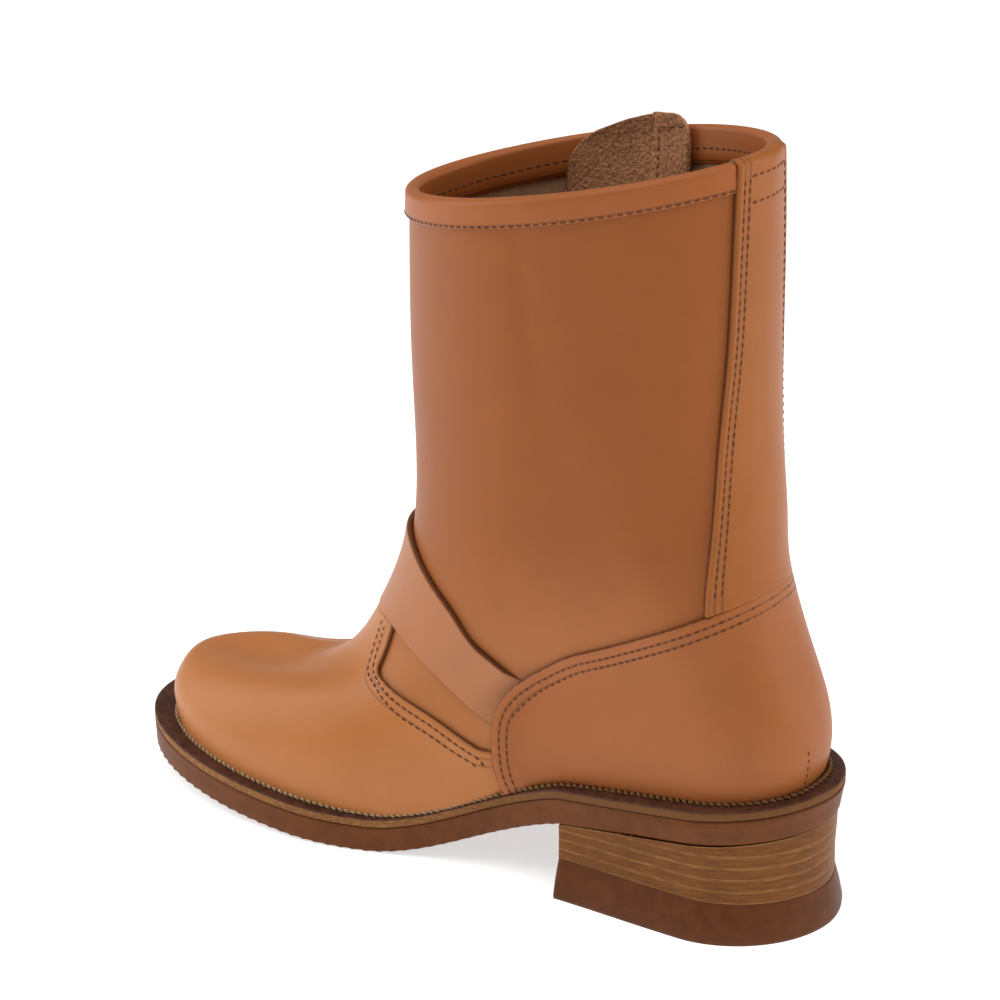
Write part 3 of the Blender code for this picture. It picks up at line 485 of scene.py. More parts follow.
def shell(name, outer, inner, materials, closed=False, mask=None, attributes=None, **more):
    """Solid between two grids; attributes are given on the outer grid and copied inside."""
    rows, cols = outer.shape[:2]
    points = np.concatenate([outer.reshape(-1, 3), inner.reshape(-1, 3)])
    both = {k: np.concatenate([np.ravel(a), np.ravel(a)]) for k, a in (attributes or {}).items()}
    both["inside"] = np.repeat([0.0, 1.0], rows * cols)
    faces = shell_faces(rows, cols, closed, mask)
    return make(name, points, faces, materials, attributes=both,
                faces_from=[0, len(materials) - 1, 0], **more)


def quads(rows, cols, closed=False):
    """Faces row by row on a grid that goes round in its columns, and in its rows too if closed."""
    i, j = np.meshgrid(np.arange(rows if closed else rows - 1), np.arange(cols), indexing="ij")
    a = i * cols + j
    b = i * cols + (j + 1) % cols
    ahead = ((i + 1) % rows - i) * cols
    return np.stack([a, b, b + ahead, a + ahead], 2)


def plate(name, stations, materials, kinds, replaced, slot):
    """Solid from closed rings, top one first, shut by strips across its first and last ring."""
    rows, n = stations.shape[:2]
    last = (n + 1) // 2 - 1
    i = np.arange(1, last)
    cap = np.stack([i, i + 1, n - i - 1, n - i], 1)
    tips = [[0, 1, n - 1]]
    if n % 2 == 0:
        tips.append([last, last + 1, last + 2])
    tips = np.array(tips)
    low = (rows - 1) * n
    faces = list(quads(rows, n)) + [cap, cap[:, ::-1] + low, tips, tips[:, ::-1] + low]
    make(name, stations.reshape(-1, 3), faces, materials, faces_from=kinds + [0] * 4,
         replaces=(replaced,), slot=slot)


def threads(name, lines, material, pitch, width, slot, sink=0.32, fill=0.74, plump=0.8, twist=0.0):
    """Row of stitches along lines of (points, normals)."""
    sides = 8
    along = np.linspace(-0.5, 0.5, 7)
    turn = np.arange(sides) * 2 * math.pi / sides
    points = []
    faces = []
    base = 0
    for line, normal in lines:
        run = run_of(line)
        count = max(1, int(run[-1] / pitch))
        at = (np.arange(count) + 0.5) * run[-1] / count
        size = run[-1] / count * fill
        centre = between(at, run, line)
        ahead = unit(between(at + size / 2, run, line) - between(at - size / 2, run, line))
        up = between(at, run, normal)
        up = unit(up - ahead * np.sum(up * ahead, 1, keepdims=True))
        side = np.cross(ahead, up)
        lean = twist * RNG.normal(1.0, 0.25, count)[:, None]
        reach = size * RNG.normal(1.0, 0.04, count)
        thick = width * RNG.normal(1.0, 0.06, count)
        for e in along:
            swell = math.sqrt(max(0.03, 1 - (2 * e) ** 4))
            arch = plump * width * 0.5 * (1 - (2 * e) ** 2) - sink
            spot = centre + ahead * (e * reach)[:, None] + up * arch + side * lean * e * size
            for k in turn:
                wide = math.cos(k) * 0.5 * swell
                tall = math.sin(k) * 0.5 * swell * plump
                points.append(spot + side * (thick * wide)[:, None] + up * (thick * tall)[:, None])
        rings = len(along)
        grid = base + np.arange(rings * sides)[:, None] * count + np.arange(count)[None]
        for r in range(rings - 1):
            for k in range(sides):
                a = grid[r * sides + k]
                b = grid[r * sides + (k + 1) % sides]
                c = grid[(r + 1) * sides + (k + 1) % sides]
                d = grid[(r + 1) * sides + k]
                faces.append(np.stack([a, b, c, d], 1))
        faces.append(np.stack([grid[k] for k in range(sides)][::-1], 1))
        faces.append(np.stack([grid[(rings - 1) * sides + k] for k in range(sides)], 1))
        base += rings * sides * count
    return make(name, np.concatenate(points), faces, [material], slot=slot)


def seam(name, rows):
    """Machine stitching of the upper."""
    threads(name, rows, THREAD, SEAM_PITCH, SEAM_WIDE, "upper_leather", fill=SEAM_FILL)


def on_surface(line, off):
    """Points and normals of a (t, v) line at height off."""
    t, v = line[:, 0], line[:, 1]
    return surface(t, v, off), normal_at(t, v)


def mirrored(line):
    """The same line on the lateral side."""
    return np.stack([line[:, 0], 1.0 - line[:, 1]], 1)


# Materials

def give(tree, node, inputs):
    """Give a node its inputs: a socket is linked, anything else becomes the value."""
    for key, value in inputs.items():
        if isinstance(value, bpy.types.NodeSocket):
            tree.links.new(value, node.inputs[key])
        else:
            node.inputs[key].default_value = value


def add(tree, kind, inputs=None, **props):
    """New node with its properties and inputs."""
    node = tree.nodes.new(kind)
    for key, value in props.items():
        setattr(node, key, value)
    give(tree, node, inputs or {})
    return node


def calc(tree, operation, a, b=0.0):
    """Math node output."""
    return add(tree, "ShaderNodeMath", {0: a, 1: b}, operation=operation).outputs[0]


def mixed(tree, a, share_a, b, share_b):
    """Sum of two values, each times its share."""
    return calc(tree, "ADD", calc(tree, "MULTIPLY", a, share_a), calc(tree, "MULTIPLY", b, share_b))


def shade(colour, share=1.0):
    """Colour with alpha, darkened to a share."""
    return (*[c * share for c in colour], 1)


def blend(tree, factor, a, b):
    """Colour mix output."""
    return add(tree, "ShaderNodeMix", {0: factor, 6: a, 7: b}, data_type="RGBA").outputs[2]


def ramp(tree, value, low, high, to_low=0.0, to_high=1.0):
    """Smooth remap of a value."""
    node = add(tree, "ShaderNodeMapRange", {0: value, 1: low, 2: high, 3: to_low, 4: to_high},
               interpolation_type="SMOOTHSTEP")
    return node.outputs[0]


def noise(tree, where, scale, detail=2.0, rough=0.5, stretch=None):
    """Noise value, with the object's own metres as coordinates."""
    if stretch:
        where = add(tree, "ShaderNodeMapping", {"Vector": where, "Scale": stretch}).outputs[0]
    node = add(tree, "ShaderNodeTexNoise", {"Vector": where, "Scale": scale, "Detail": detail,
                                            "Roughness": rough})
    return node.outputs["Fac"]


def start(name):
    """New material; gives the material, its tree, its shader and object coordinates."""
    material = bpy.data.materials.new(name)
    material.use_nodes = True
    tree = material.node_tree
    shader = tree.nodes["Principled BSDF"]
    where = add(tree, "ShaderNodeTexCoord").outputs["Object"]
    return material, tree, shader, where


def attribute(tree, name):
    """Value stored on the mesh under a name."""
    return add(tree, "ShaderNodeAttribute", attribute_name=name).outputs["Fac"]


def line_at(tree, value, place, width):
    """Bump-shaped 1 at value = place, 0 beyond width."""
    away = calc(tree, "ABSOLUTE", calc(tree, "SUBTRACT", value, place))
    return ramp(tree, away, 0.0, width, 1.0, 0.0)


def leather(name, light, dark, rough=0.46, grooves=(), edge=0.0, lining=None, sheen=0.0, low=None):
    """Smooth tanned leather: mottled, with seam grooves darkened by painted shade and edges darkened
    towards the cut; low is a painted lighter tone near the ground, standing in for light on the lower
    part, and lining colours its inner side."""
    material, tree, shader, where = start(name)
    cloud = noise(tree, where, 22.0, 4.0, 0.55)
    mottle = noise(tree, where, 95.0, 3.0, 0.6)
    speck = noise(tree, where, 900.0, 2.0, 0.6)
    tone = mixed(tree, cloud, 0.65, mottle, 0.35)
    colour = blend(tree, ramp(tree, tone, 0.24, 0.76), shade(dark), shade(light))
    colour = blend(tree, ramp(tree, speck, 0.60, 0.78, 0.0, 0.10), colour, shade(dark, 0.55))
    # Painted light: from 150 mm down to 60 mm above the ground the colour turns to the lighter low tone,
    # standing in for light falling on the lower part.
    if low:
        high = add(tree, "ShaderNodeSeparateXYZ", {0: where}).outputs[2]
        colour = blend(tree, ramp(tree, high, 0.060, 0.150, 1.0, 0.0), colour,
                       blend(tree, tone, shade(low, 0.88), shade(low)))
    fine = noise(tree, where, 2600.0, 2.0, 0.6)
    pores = add(tree, "ShaderNodeTexVoronoi", {"Vector": where, "Scale": 1500.0}).outputs["Distance"]
    wave = noise(tree, where, 260.0, 2.0, 0.5)
    height = mixed(tree, mixed(tree, fine, 0.5, pores, 0.5), 0.06, wave, 0.10)
    near = attribute(tree, "edge")
    # Painted shade: each seam groove is dented by the bump and its colour darkened where shade falls in it.
    for place in grooves:
        dip = line_at(tree, near, place, 0.75)
        height = calc(tree, "SUBTRACT", height, calc(tree, "MULTIPLY", dip, 0.42))
        colour = blend(tree, calc(tree, "MULTIPLY", dip, 0.50), colour, shade(dark, 0.35))
    # Colour darker towards the cut edges.
    if edge:
        rim = ramp(tree, near, edge * 0.25, edge, 1.0, 0.0)
        colour = blend(tree, calc(tree, "MULTIPLY", rim, 0.85), colour, shade(EDGE_DARK))
    if lining:
        inside = attribute(tree, "inside")
        nap = noise(tree, where, 420.0, 5.0, 0.7, (1.0, 1.0, 0.35))
        colour = blend(tree, inside, colour, blend(tree, nap, shade(lining, 0.55), shade(lining)))
        height = calc(tree, "ADD", height, calc(tree, "MULTIPLY", calc(tree, "MULTIPLY", nap, inside), 0.5))
    bump = add(tree, "ShaderNodeBump", {"Height": height, "Strength": 0.25, "Distance": 0.0008})
    gloss = calc(tree, "ADD", calc(tree, "MULTIPLY", mottle, 0.12), rough - 0.06)
    give(tree, shader, {"Base Color": colour, "Roughness": gloss, "Normal": bump.outputs[0],
                        "Specular IOR Level": 0.20, "Coat Weight": sheen, "Coat Roughness": 0.38})
    return material


def plain(name, light, dark, rough, scale=300.0, bump=0.2, stretch=None, metal=0.0, distance=0.0004,
          heel=None):
    """Two-tone noisy material for thread, rubber, edges and metal; heel is its tone at the back."""
    material, tree, shader, where = start(name)
    tone = noise(tree, where, scale, 4.0, 0.6, stretch)
    wide = noise(tree, where, 40.0, 2.0, 0.5)
    mix = mixed(tree, tone, 0.7, wide, 0.3)
    colour = blend(tree, ramp(tree, mix, 0.36, 0.64), shade(dark), shade(light))
    if heel:
        along = add(tree, "ShaderNodeSeparateXYZ", {0: where}).outputs[1]
        back = ramp(tree, along, -0.060, 0.020, 1.0, 0.0)
        colour = blend(tree, back, colour, blend(tree, mix, shade(heel, 0.5), shade(heel)))
    bumps = add(tree, "ShaderNodeBump", {"Height": tone, "Strength": bump, "Distance": distance})
    give(tree, shader, {"Base Color": colour, "Roughness": rough, "Metallic": metal,
                        "Specular IOR Level": 0.5 if metal else 0.15, "Normal": bumps.outputs[0]})
    return material


# Dark colour laid along the cut edges of the panels.
EDGE_DARK = (0.115, 0.038, 0.014)
# Painted light: the shaft's low colour is a lighter tone painted near the ground for the light falling on
# the lower shaft.
SHAFT = leather("shaft_leather", (0.325, 0.092, 0.017), (0.285, 0.077, 0.012), 0.46,
                lining=(0.50, 0.29, 0.16), sheen=0.04, low=(0.47, 0.168, 0.052))
VAMP = leather("vamp_leather", (0.500, 0.184, 0.054), (0.455, 0.160, 0.044), 0.44, grooves=VAMP_SEAMS,
               edge=0.7, sheen=0.12)
COUNTER = leather("counter_leather", (0.380, 0.120, 0.033), (0.340, 0.103, 0.026), 0.46,
                  grooves=COUNTER_SEAMS, edge=0.6, sheen=0.05)
STAY = leather("stay_leather", (0.365, 0.114, 0.022), (0.325, 0.096, 0.017), 0.44,
               grooves=STAY_SEAMS, edge=0.5, sheen=0.06)
BINDING = leather("binding_leather", (0.375, 0.110, 0.027), (0.335, 0.094, 0.021), 0.44,
                  grooves=(1.7,), edge=0.6, sheen=0.06)
STRAP_SKIN = leather("strap_leather", (0.450, 0.178, 0.076), (0.410, 0.156, 0.064), 0.46, edge=0.5,
                     sheen=0.06)
SUEDE = plain("suede_nap", (0.56, 0.270, 0.132), (0.33, 0.146, 0.070), 0.95, 750.0, 1.0, distance=0.0012)
THREAD = plain("dark_thread", (0.185, 0.066, 0.026), (0.085, 0.027, 0.010), 0.6, 2200.0, 0.5)
FLAP_THREAD = plain("flap_thread", (0.30, 0.135, 0.065), (0.20, 0.085, 0.040), 0.7, 2200.0, 0.5)
WELT_THREAD = plain("welt_thread", (0.52, 0.36, 0.21), (0.36, 0.23, 0.12), 0.75, 1800.0, 0.8,
                    heel=(0.235, 0.110, 0.043))
WELT_TOP = plain("welt_top", (0.105, 0.040, 0.022), (0.055, 0.019, 0.011), 0.45, 260.0, 0.3)
WELT_EDGE = plain("welt_edge", (0.34, 0.155, 0.052), (0.17, 0.066, 0.021), 0.7, 900.0, 0.8,
                  (0.5, 0.5, 2.0), heel=(0.220, 0.090, 0.028))
RUBBER = plain("sole_rubber", (0.155, 0.047, 0.011), (0.125, 0.037, 0.008), 0.5, 160.0, 0.25)
HEEL_RUBBER = plain("heel_rubber", (0.132, 0.039, 0.011), (0.103, 0.030, 0.008), 0.46, 160.0, 0.25)
STACK = plain("stack_leather", (0.205, 0.074, 0.015), (0.140, 0.047, 0.009), 0.46, 420.0, 0.35,
              (0.35, 0.35, 2.5))
STACK_LINE = plain("stack_line", (0.330, 0.150, 0.045), (0.205, 0.086, 0.024), 0.5, 420.0, 0.35,
                   (0.35, 0.35, 2.5))
INSOLE = plain("insole_leather", (0.42, 0.24, 0.13), (0.33, 0.18, 0.09), 0.7, 500.0, 0.3)
METAL = plain("buckle_metal", (0.66, 0.52, 0.30), (0.52, 0.40, 0.22), 0.28, 300.0, 0.1, metal=1.0)


# Upper

def build_upper():
    """One wall for foot and shaft, parted by the slit."""
    t = np.linspace(0, RIM_T, 141)
    v = np.linspace(0, 1, 291)[:-1]
    v = v[np.abs(v - SLIT_V) > SLIT_HALF + 0.0012]
    v = np.sort(np.append(v, [SLIT_V - SLIT_HALF, SLIT_V + SLIT_HALF]))
    tt, vv = np.meshgrid(t, v, indexing="ij")
    column = int(np.argmin(np.abs(v - (SLIT_V - SLIT_HALF))))
    mask = np.ones((len(t) - 1, len(v)), bool)
    mask[t[:-1] >= SLIT_BOTTOM, column] = False
    outer = surface(tt, vv, 0.0)
    inner = surface(tt, vv, -WALL)
    for grid in (outer, inner):
        grid[0, :, 2] = welt_top(grid[0, :, 1]) + GAP
    shell("upper_shell", outer, inner, [SHAFT], closed=True, mask=mask, replaces=("upper",),
          slot="upper_leather", attributes={"edge": np.full(tt.shape, AWAY)})


def rounded(distance, radius):
    """Profile of a rounded edge: 0 at the edge, 1 from radius on."""
    u = np.clip(distance / radius, 0, 1)
    return np.sqrt(1 - (1 - u) ** 2)


def lay(name, tt, vv, edges, material, replaced, over, radius=1.2):
    """Leather panel on the upper, rounded down towards the edges given as (t, v) lines."""
    flat = surface(tt, vv, LAID)
    near = np.full(tt.shape, AWAY)
    for line in edges:
        near = np.minimum(near, distance_to(flat, surface(line[:, 0], line[:, 1], LAID)))
    height = (PANEL - LAID) * (0.30 + 0.70 * rounded(near, radius))
    base = surface(tt, vv, LAID + over)
    outer = surface(tt, vv, LAID + over + height)
    for grid in (outer, base):
        grid[..., 2] = np.maximum(grid[..., 2], welt_top(grid[..., 1]) + GAP)
    shell(name, outer, base, [material], attributes={"edge": near}, replaces=(replaced,),
          slot="upper_leather")


def counter_line():
    """Edge of the counter on the medial side, from the welt up and back to the centre."""
    t = np.linspace(0.0, COUNTER_CORNER, 40)
    front = np.stack([t, table(COUNTER_FRONT, t)], 1)
    a = np.linspace(1.0, 0.0, 60)[1:]
    top = table(COUNTER_TOP, a)
    return np.concatenate([front, np.stack([top, a * table(COUNTER_FRONT, top)], 1)])


def counter_rise(t, v):
    """Height by which the counter lifts to lie over the vamp and the strap's end."""
    inside = (table(COUNTER_FRONT, t) - np.abs(v)) * FOOT_ROUND
    return COUNTER_OVER * (1 - smooth((inside - 1.0) / 11.0)) * (1 - smooth((t - COUNTER_CORNER) / 0.9))


def build_counter():
    """Heel counter with two seams along its edge."""
    a = np.linspace(-1, 1, 241)
    b = np.linspace(0, 1, 101)
    bb, aa = np.meshgrid(b, a, indexing="ij")
    tt = bb * table(COUNTER_TOP, np.abs(aa))
    vv = aa * table(COUNTER_FRONT, tt)
    medial = counter_line()
    whole = np.concatenate([medial, mirrored(medial)[::-1][1:] - np.array([0, 1.0])])
    lay("counter_panel", tt, vv, [whole], COUNTER, "counter", counter_rise(tt, vv))
    rows = []
    for d in COUNTER_SEAMS:
        line = inset(even(whole, 500), -d)
        rows.append(on_surface(line, PANEL + counter_rise(line[:, 0], line[:, 1])))
    seam("counter_stitches", rows)
    # Short upright seam low at the back
    upright = np.stack([np.linspace(0.15, 1.4, 20), np.full(20, 0.012)], 1)
    threads("heel_seam", [on_surface(upright, PANEL)], THREAD, 2.6, 0.75, "upper_leather")


def vamp_edge(t):
    """Rear edge of the visible vamp; low down it runs on below the counter."""
    return table(VAMP_EDGE, t) - 0.013 * (1 - smooth((t - 1.2) / 0.5))


def build_vamp():
    """Vamp from the welt to below the strap, with two seams along its rear edge."""
    t = np.linspace(0, VAMP_TOP, 121)
    share = np.linspace(0, 1, 241)
    tt, aa = np.meshgrid(t, share, indexing="ij")
    edge = vamp_edge(tt)
    vv = edge + (1 - 2 * edge) * aa
    # The top runs on below the strap, pared thin there.
    strap = table([(v, t) for t, v in STRAP_LOWER], np.minimum(vv, 1 - vv))
    tt = tt + (strap + 0.15 - VAMP_TOP) * (tt / VAMP_TOP) ** 8
    under = 1.9 * smooth((tt - strap) / 0.07)
    medial = np.stack([tt[:, 0], vv[:, 0]], 1)
    # Below the counter the vamp is pared thin.
    fold = np.minimum(vv, 1 - vv)
    pare = 0.55 * (1 - smooth((fold - table(COUNTER_FRONT, tt)) / 0.012)) * (tt < 3.0)
    lay("vamp_panel", tt, vv, [medial, mirrored(medial)], VAMP, "vamp", -pare - under, 1.4)
    rows = []
    up = np.linspace(1.0, VAMP_TOP, 240)
    run = np.stack([up, table(VAMP_EDGE, up)], 1)
    for line, sign in ((run, 1), (mirrored(run), -1)):
        for d in VAMP_SEAMS:
            rows.append(on_surface(inset(line, sign * d), PANEL))
    seam("vamp_stitches", rows)


def build_backstay():
    """Strip up the back seam with beaded edges, folded over the rim."""
    t = np.concatenate([np.linspace(BACKSTAY_FOOT - 0.35, RIM_T - 0.1, 130), [RIM_T]])
    share = np.linspace(-1, 1, 49)
    half = table(BACKSTAY_HALF, t)[:, None]
    reach = (1 - np.abs(share))[None] * half * SHAFT_ROUND
    bead = 0.5 * np.exp(-((reach - 1.3) / 0.9) ** 2)
    swell = 0.3 + 0.7 * rounded(reach, 1.1)
    tt = np.repeat(t[:, None], len(share), 1)
    outer = list(surface(tt, share[None] * half, LAID + (PANEL - LAID) * swell + bead))
    inner = list(surface(tt, share[None] * half, LAID))
    near = list(reach)
    last = share * half[-1]
    middle = -WALL / 2
    for turn in np.linspace(0, math.pi, 11)[1:]:
        wide = WALL / 2 + PANEL * swell[-1] + bead[-1]
        outer.append(surface(RIM_T + math.sin(turn) * (ROLL + 0.5) / RIM_STEP, last,
                             middle + math.cos(turn) * wide))
        inner.append(surface(RIM_T + math.sin(turn) * 0.3 / RIM_STEP, last,
                             middle + math.cos(turn) * (WALL / 2 + LAID)))
        near.append(reach[-1])
    for drop in (4.0, 9.0, BACKSTAY_INSIDE):
        outer.append(surface(RIM_T - drop / RIM_STEP, last, -WALL - PANEL * swell[-1]))
        inner.append(surface(RIM_T - drop / RIM_STEP, last, -WALL - LAID))
        near.append(reach[-1])
    shell("backstay_strip", np.stack(outer), np.stack(inner), [STAY], replaces=("backstay",),
          slot="upper_leather", attributes={"edge": np.stack(near)})
    rows = []
    up = np.linspace(BACKSTAY_FOOT, RIM_T - 0.12, 200)
    for side in (-1, 1):
        for d in STAY_SEAMS:
            v = side * (table(BACKSTAY_HALF, up) - d / SHAFT_ROUND)
            rows.append(on_surface(np.stack([up, v], 1), PANEL))
    # Two short rows across close the strip below the rim.
    across = np.linspace(-1, 1, 30) * (table(BACKSTAY_HALF, RIM_T) - STAY_SEAMS[1] / SHAFT_ROUND)
    for t in (RIM_T - 0.12, RIM_T - 0.42):
        rows.append(on_surface(np.stack([np.full(30, t), across], 1), PANEL))
    seam("backstay_stitches", rows)


def build_binding(name, start_v, end_v, count, replaced):
    """Rolled leather edge over the rim, longer on the inside, with a stitch row each side."""
    v = np.linspace(start_v, end_v, count)
    wide = WALL / 2 + 1.45
    middle = -WALL / 2
    profile = [(-BINDING_DROP, WALL / 2 + 0.5), (-BINDING_DROP + 0.2, wide - 0.35),
               (-BINDING_DROP + 0.7, wide - 0.1), (-7.4, wide + 0.1), (-5.0, wide + 0.1), (-2.5, wide)]
    for turn in np.linspace(0, math.pi, 13):
        profile.append((math.sin(turn) * ROLL, math.cos(turn) * wide))
    profile += [(-4.0, -wide), (-8.0, -wide), (-INSIDE_DROP + 0.5, -wide), (-INSIDE_DROP, -WALL / 2 - 0.5)]
    outer = np.stack([surface(RIM_T + h / RIM_STEP, v, middle + o) for h, o in profile])
    inner = []
    near = []
    for h, o in profile:
        reach = math.copysign(min(abs(o), WALL / 2 + LAID), o)
        inner.append(surface(RIM_T + min(h, 0.2) / RIM_STEP, v, middle + reach))
        near.append(abs(min(h, 0) + (BINDING_DROP if o > 0 else INSIDE_DROP)))
    near = np.repeat(np.array(near)[:, None], count, 1)
    shell(name, outer, np.stack(inner), [BINDING], replaces=(replaced,), slot="upper_leather",
          attributes={"edge": near})
    low = np.stack([np.full(count, RIM_T - (BINDING_DROP - 1.2) / RIM_STEP), v], 1)
    high = np.stack([np.full(count, RIM_T - 6.8 / RIM_STEP), v], 1)
    inside = on_surface(high, middle - wide)
    rows = [on_surface(low, middle + wide), (inside[0], -inside[1])]
    threads(name + "_stitches", rows, THREAD, 3.2, 0.85, "upper_leather", fill=0.9)


def strap_place(u, w):
    """(t, v) on the instep strap: u from 0 medial to 1 lateral, w from 0 low to 1 high."""
    u = np.asarray(u, float)
    fold = np.where(u > 0.5, 1 - u, u) * 2
    at = np.clip(fold.reshape(-1), -0.08, 1)
    upper = curve(STRAP_UPPER, at).reshape(fold.shape + (2,))
    lower = curve(STRAP_LOWER, at).reshape(fold.shape + (2,))
    place = lower + (upper - lower) * np.asarray(w, float)[..., None]
    v = np.where(u > 0.5, 1 - place[..., 1], place[..., 1])
    return place[..., 0], v


def collar_place(u, w):
    """(t, v) on the collar strap: u from 0 front to 1 back on the lateral side."""
    v = COLLAR_STRAP_START + COLLAR_STRAP_TURN * np.asarray(u, float)
    return COLLAR_STRAP_T + COLLAR_STRAP_HALF * (2 * np.asarray(w, float) - 1), v


def band_point(place, u, w, off):
    """Point on a strap's path at height off over the upper."""
    u, w, off = np.broadcast_arrays(np.asarray(u, float), np.asarray(w, float), np.asarray(off, float))
    t, v = place(u, w)
    return surface(t, v, off)


def lift_line(u, begin, end, low, high):
    """Smooth step in height along a strap."""
    return low + (high - low) * smooth((u - begin) / (end - begin))


def collar_rise(u):
    """Height of the collar strap, which climbs over its buckle's bar."""
    return lift_line(u, 0.46, 0.60, STRAP_LOW, 4.2) - lift_line(u, 0.66, 0.80, 0.0, 1.1)


def instep_rise(u):
    """Height of the instep strap, which climbs over its buckle's bar."""
    return lift_line(u, 0.745, 0.800, STRAP_REST, 4.2) - lift_line(u, 0.830, 0.88, 0.0, 1.1)


def build_strap(name, place, begin, end, rise, replaced, count=200, thick=STRAP, pinch=0.0,
                tip=False, under=False):
    """Strap with square cut edges; tip rounds its free end."""
    w = np.concatenate([[0.0, 0.012, 0.03], np.linspace(0.06, 0.94, 27), [0.97, 0.988, 1.0]])
    u = np.linspace(begin, end, count)
    uu, ww = np.meshgrid(u, w, indexing="ij")
    if tip:
        shut = np.clip((u - (end - 0.06)) / 0.06, 0, 1)[:, None]
        ww = 0.5 + (ww - 0.5) * np.sqrt(np.clip(1 - (shut * 0.93) ** 2.4, 0, 1))
    ww = 0.5 + (ww - 0.5) * (1 - pinch)
    low = rise(uu) if callable(rise) else np.full(uu.shape, rise)
    middle = band_point(place, uu, ww, low)
    across = np.concatenate([np.zeros((count, 1)),
                             np.cumsum(np.linalg.norm(np.diff(middle, axis=1), axis=2), axis=1)], 1)
    near = np.minimum(across, across[:, -1:] - across)
    # The sewn end is pared to lie below the counter.
    pare = 1 - smooth((uu + 0.01) / 0.06) if under else 0 * uu
    low = low - 0.6 * pare
    thick = thick - 1.5 * pare
    high = low + thick * (0.72 + 0.28 * rounded(near, 0.9))
    middle = band_point(place, uu, ww, low)
    outer = band_point(place, uu, ww, high)
    shell(name, outer, middle, [STRAP_SKIN], replaces=(replaced,), slot="strap_leather",
          attributes={"edge": near})


def tube(name, path, radius, normals, closed, replaced):
    """Round metal bar along a path."""
    sides = 16
    count = len(path)
    ahead = unit(np.roll(path, -1, 0) - np.roll(path, 1, 0) if closed else np.gradient(path, axis=0))
    up = unit(normals - ahead * np.sum(normals * ahead, axis=1, keepdims=True))
    out = np.cross(ahead, up)
    turn = np.arange(sides) * 2 * math.pi / sides
    radius = np.broadcast_to(radius, (count,))[:, None, None]
    ring = out[:, None] * np.cos(turn)[None, :, None] + up[:, None] * np.sin(turn)[None, :, None]
    grid = path[:, None] + radius * ring
    faces = [quads(count, sides, closed).reshape(-1, 4)]
    if not closed:
        faces.append(np.arange(sides)[None])
        faces.append(np.arange((count - 1) * sides, count * sides)[None, ::-1])
    make(name, grid.reshape(-1, 3), faces, [METAL], replaces=(replaced,), slot="buckle_metal")


def build_buckle(prefix, place, bar_u, roller_u, hole_u, hole_low, wide):
    """Round-wire frame and prong, fastened over the strap."""
    low_bar = STRAP_LOW + ANCHOR - 0.45
    high_bar = STRAP_LOW + STRAP + WIRE + 0.55
    corners = np.array(((bar_u, -wide, low_bar), (roller_u, -wide, high_bar),
                        (roller_u, 1 + wide, high_bar), (bar_u, 1 + wide, low_bar)))
    path = []
    for k in range(4):
        a = corners[k]
        b = corners[(k + 1) % 4]
        before = corners[k - 1]
        for share in np.linspace(0, 1, 9):
            one = a + (before - a) * 0.14 * (1 - share) ** 2 + (b - a) * 0.14 * share ** 2
            path.append(one)
        for share in (0.3, 0.45, 0.6, 0.75):
            path.append(a + (b - a) * share)
    path = np.array(path)
    points = band_point(place, path[:, 0], path[:, 1], path[:, 2])
    above = band_point(place, path[:, 0], path[:, 1], path[:, 2] + 1.0)
    tube(prefix + "_frame", points, WIRE, above - points, True, prefix + "_buckle")
    step = hole_u - roller_u
    knots = np.array(((hole_u + 0.10 * step, 0.5, hole_low), (hole_u - 0.15 * step, 0.5, hole_low + 3.0),
                      (hole_u - 0.55 * step, 0.5, high_bar + 2.1), (roller_u, 0.5, high_bar + 2.8),
                      (roller_u - 0.5 * step, 0.5, high_bar + 2.4)))
    way = spline(np.arange(5), knots, np.linspace(0, 4, 30))
    points = band_point(place, way[:, 0], way[:, 1], way[:, 2])
    above = band_point(place, way[:, 0], way[:, 1], way[:, 2] + 1.0)
    tube(prefix + "_tongue", points, np.linspace(0.9, 0.65, 30), above - points, False, prefix + "_prong")


def build_flap():
    """Suede gusset flap, rough side out, standing off the wall at its front."""
    a = np.linspace(0, 1, 91)
    b = np.linspace(0, 1, 121)
    bb, aa = np.meshgrid(b, a, indexing="ij")
    share, drop = np.array(FLAP_TOP).T
    top = RIM_T + (FLAP_RISE - np.interp(aa, share, drop)) / RIM_STEP
    tt = FLAP_BOTTOM + (top - FLAP_BOTTOM) * bb
    vv = FLAP_FRONT + (FLAP_BACK - FLAP_FRONT) * aa
    stand = -WALL - FLAP_STAND - FLAP_LEAN * (1 - smooth(aa / 0.7)) * bb
    rough = 0.15 * RNG.normal(size=stand.shape)
    shell("suede_flap", surface(tt, vv, stand), surface(tt, vv, stand - FLAP + rough), [SUEDE],
          replaces=("gusset_flap",), slot="suede")
    rows = []
    for line in (np.stack([np.linspace(10.3, 12.05, 40), np.full(40, 0.757)], 1),
                 np.stack([np.full(20, 12.05), np.linspace(0.757, 0.785, 20)], 1)):
        points, normal = on_surface(line, -WALL - FLAP_STAND - FLAP)
        rows.append((points, -normal))
    threads("flap_stitches", rows, FLAP_THREAD, 3.0, 0.8, "suede", sink=0.1)


# Sole

def outline(count):
    """Closed plan line of the outsole as (x, s), medial side first, with outward normals."""
    q = (1 - np.cos(np.linspace(0, math.pi, count))) / 2
    s = LENGTH * q
    medial = np.stack([sole_middle(s) - sole_half(s, -1), s], 1)
    lateral = np.stack([sole_middle(s) + sole_half(s, 1), s], 1)
    ring = np.concatenate([even(medial, count)[:-1], even(lateral, count)[::-1][:-1]])
    return ring, plan_normals(ring)


def plan_normals(ring):
    """Outward normals of a closed plan line."""
    ahead = unit(np.roll(ring, -1, 0) - np.roll(ring, 1, 0), 1e-9)
    normal = np.stack([ahead[:, 1], -ahead[:, 0]], 1)
    middle = ring.mean(axis=0)
    if np.sum(normal * (ring - middle)) < 0:
        normal = -normal
    return normal


def raised(plan, z):
    """Plan points with their heights."""
    return np.concatenate([plan, z[:, None]], 1)


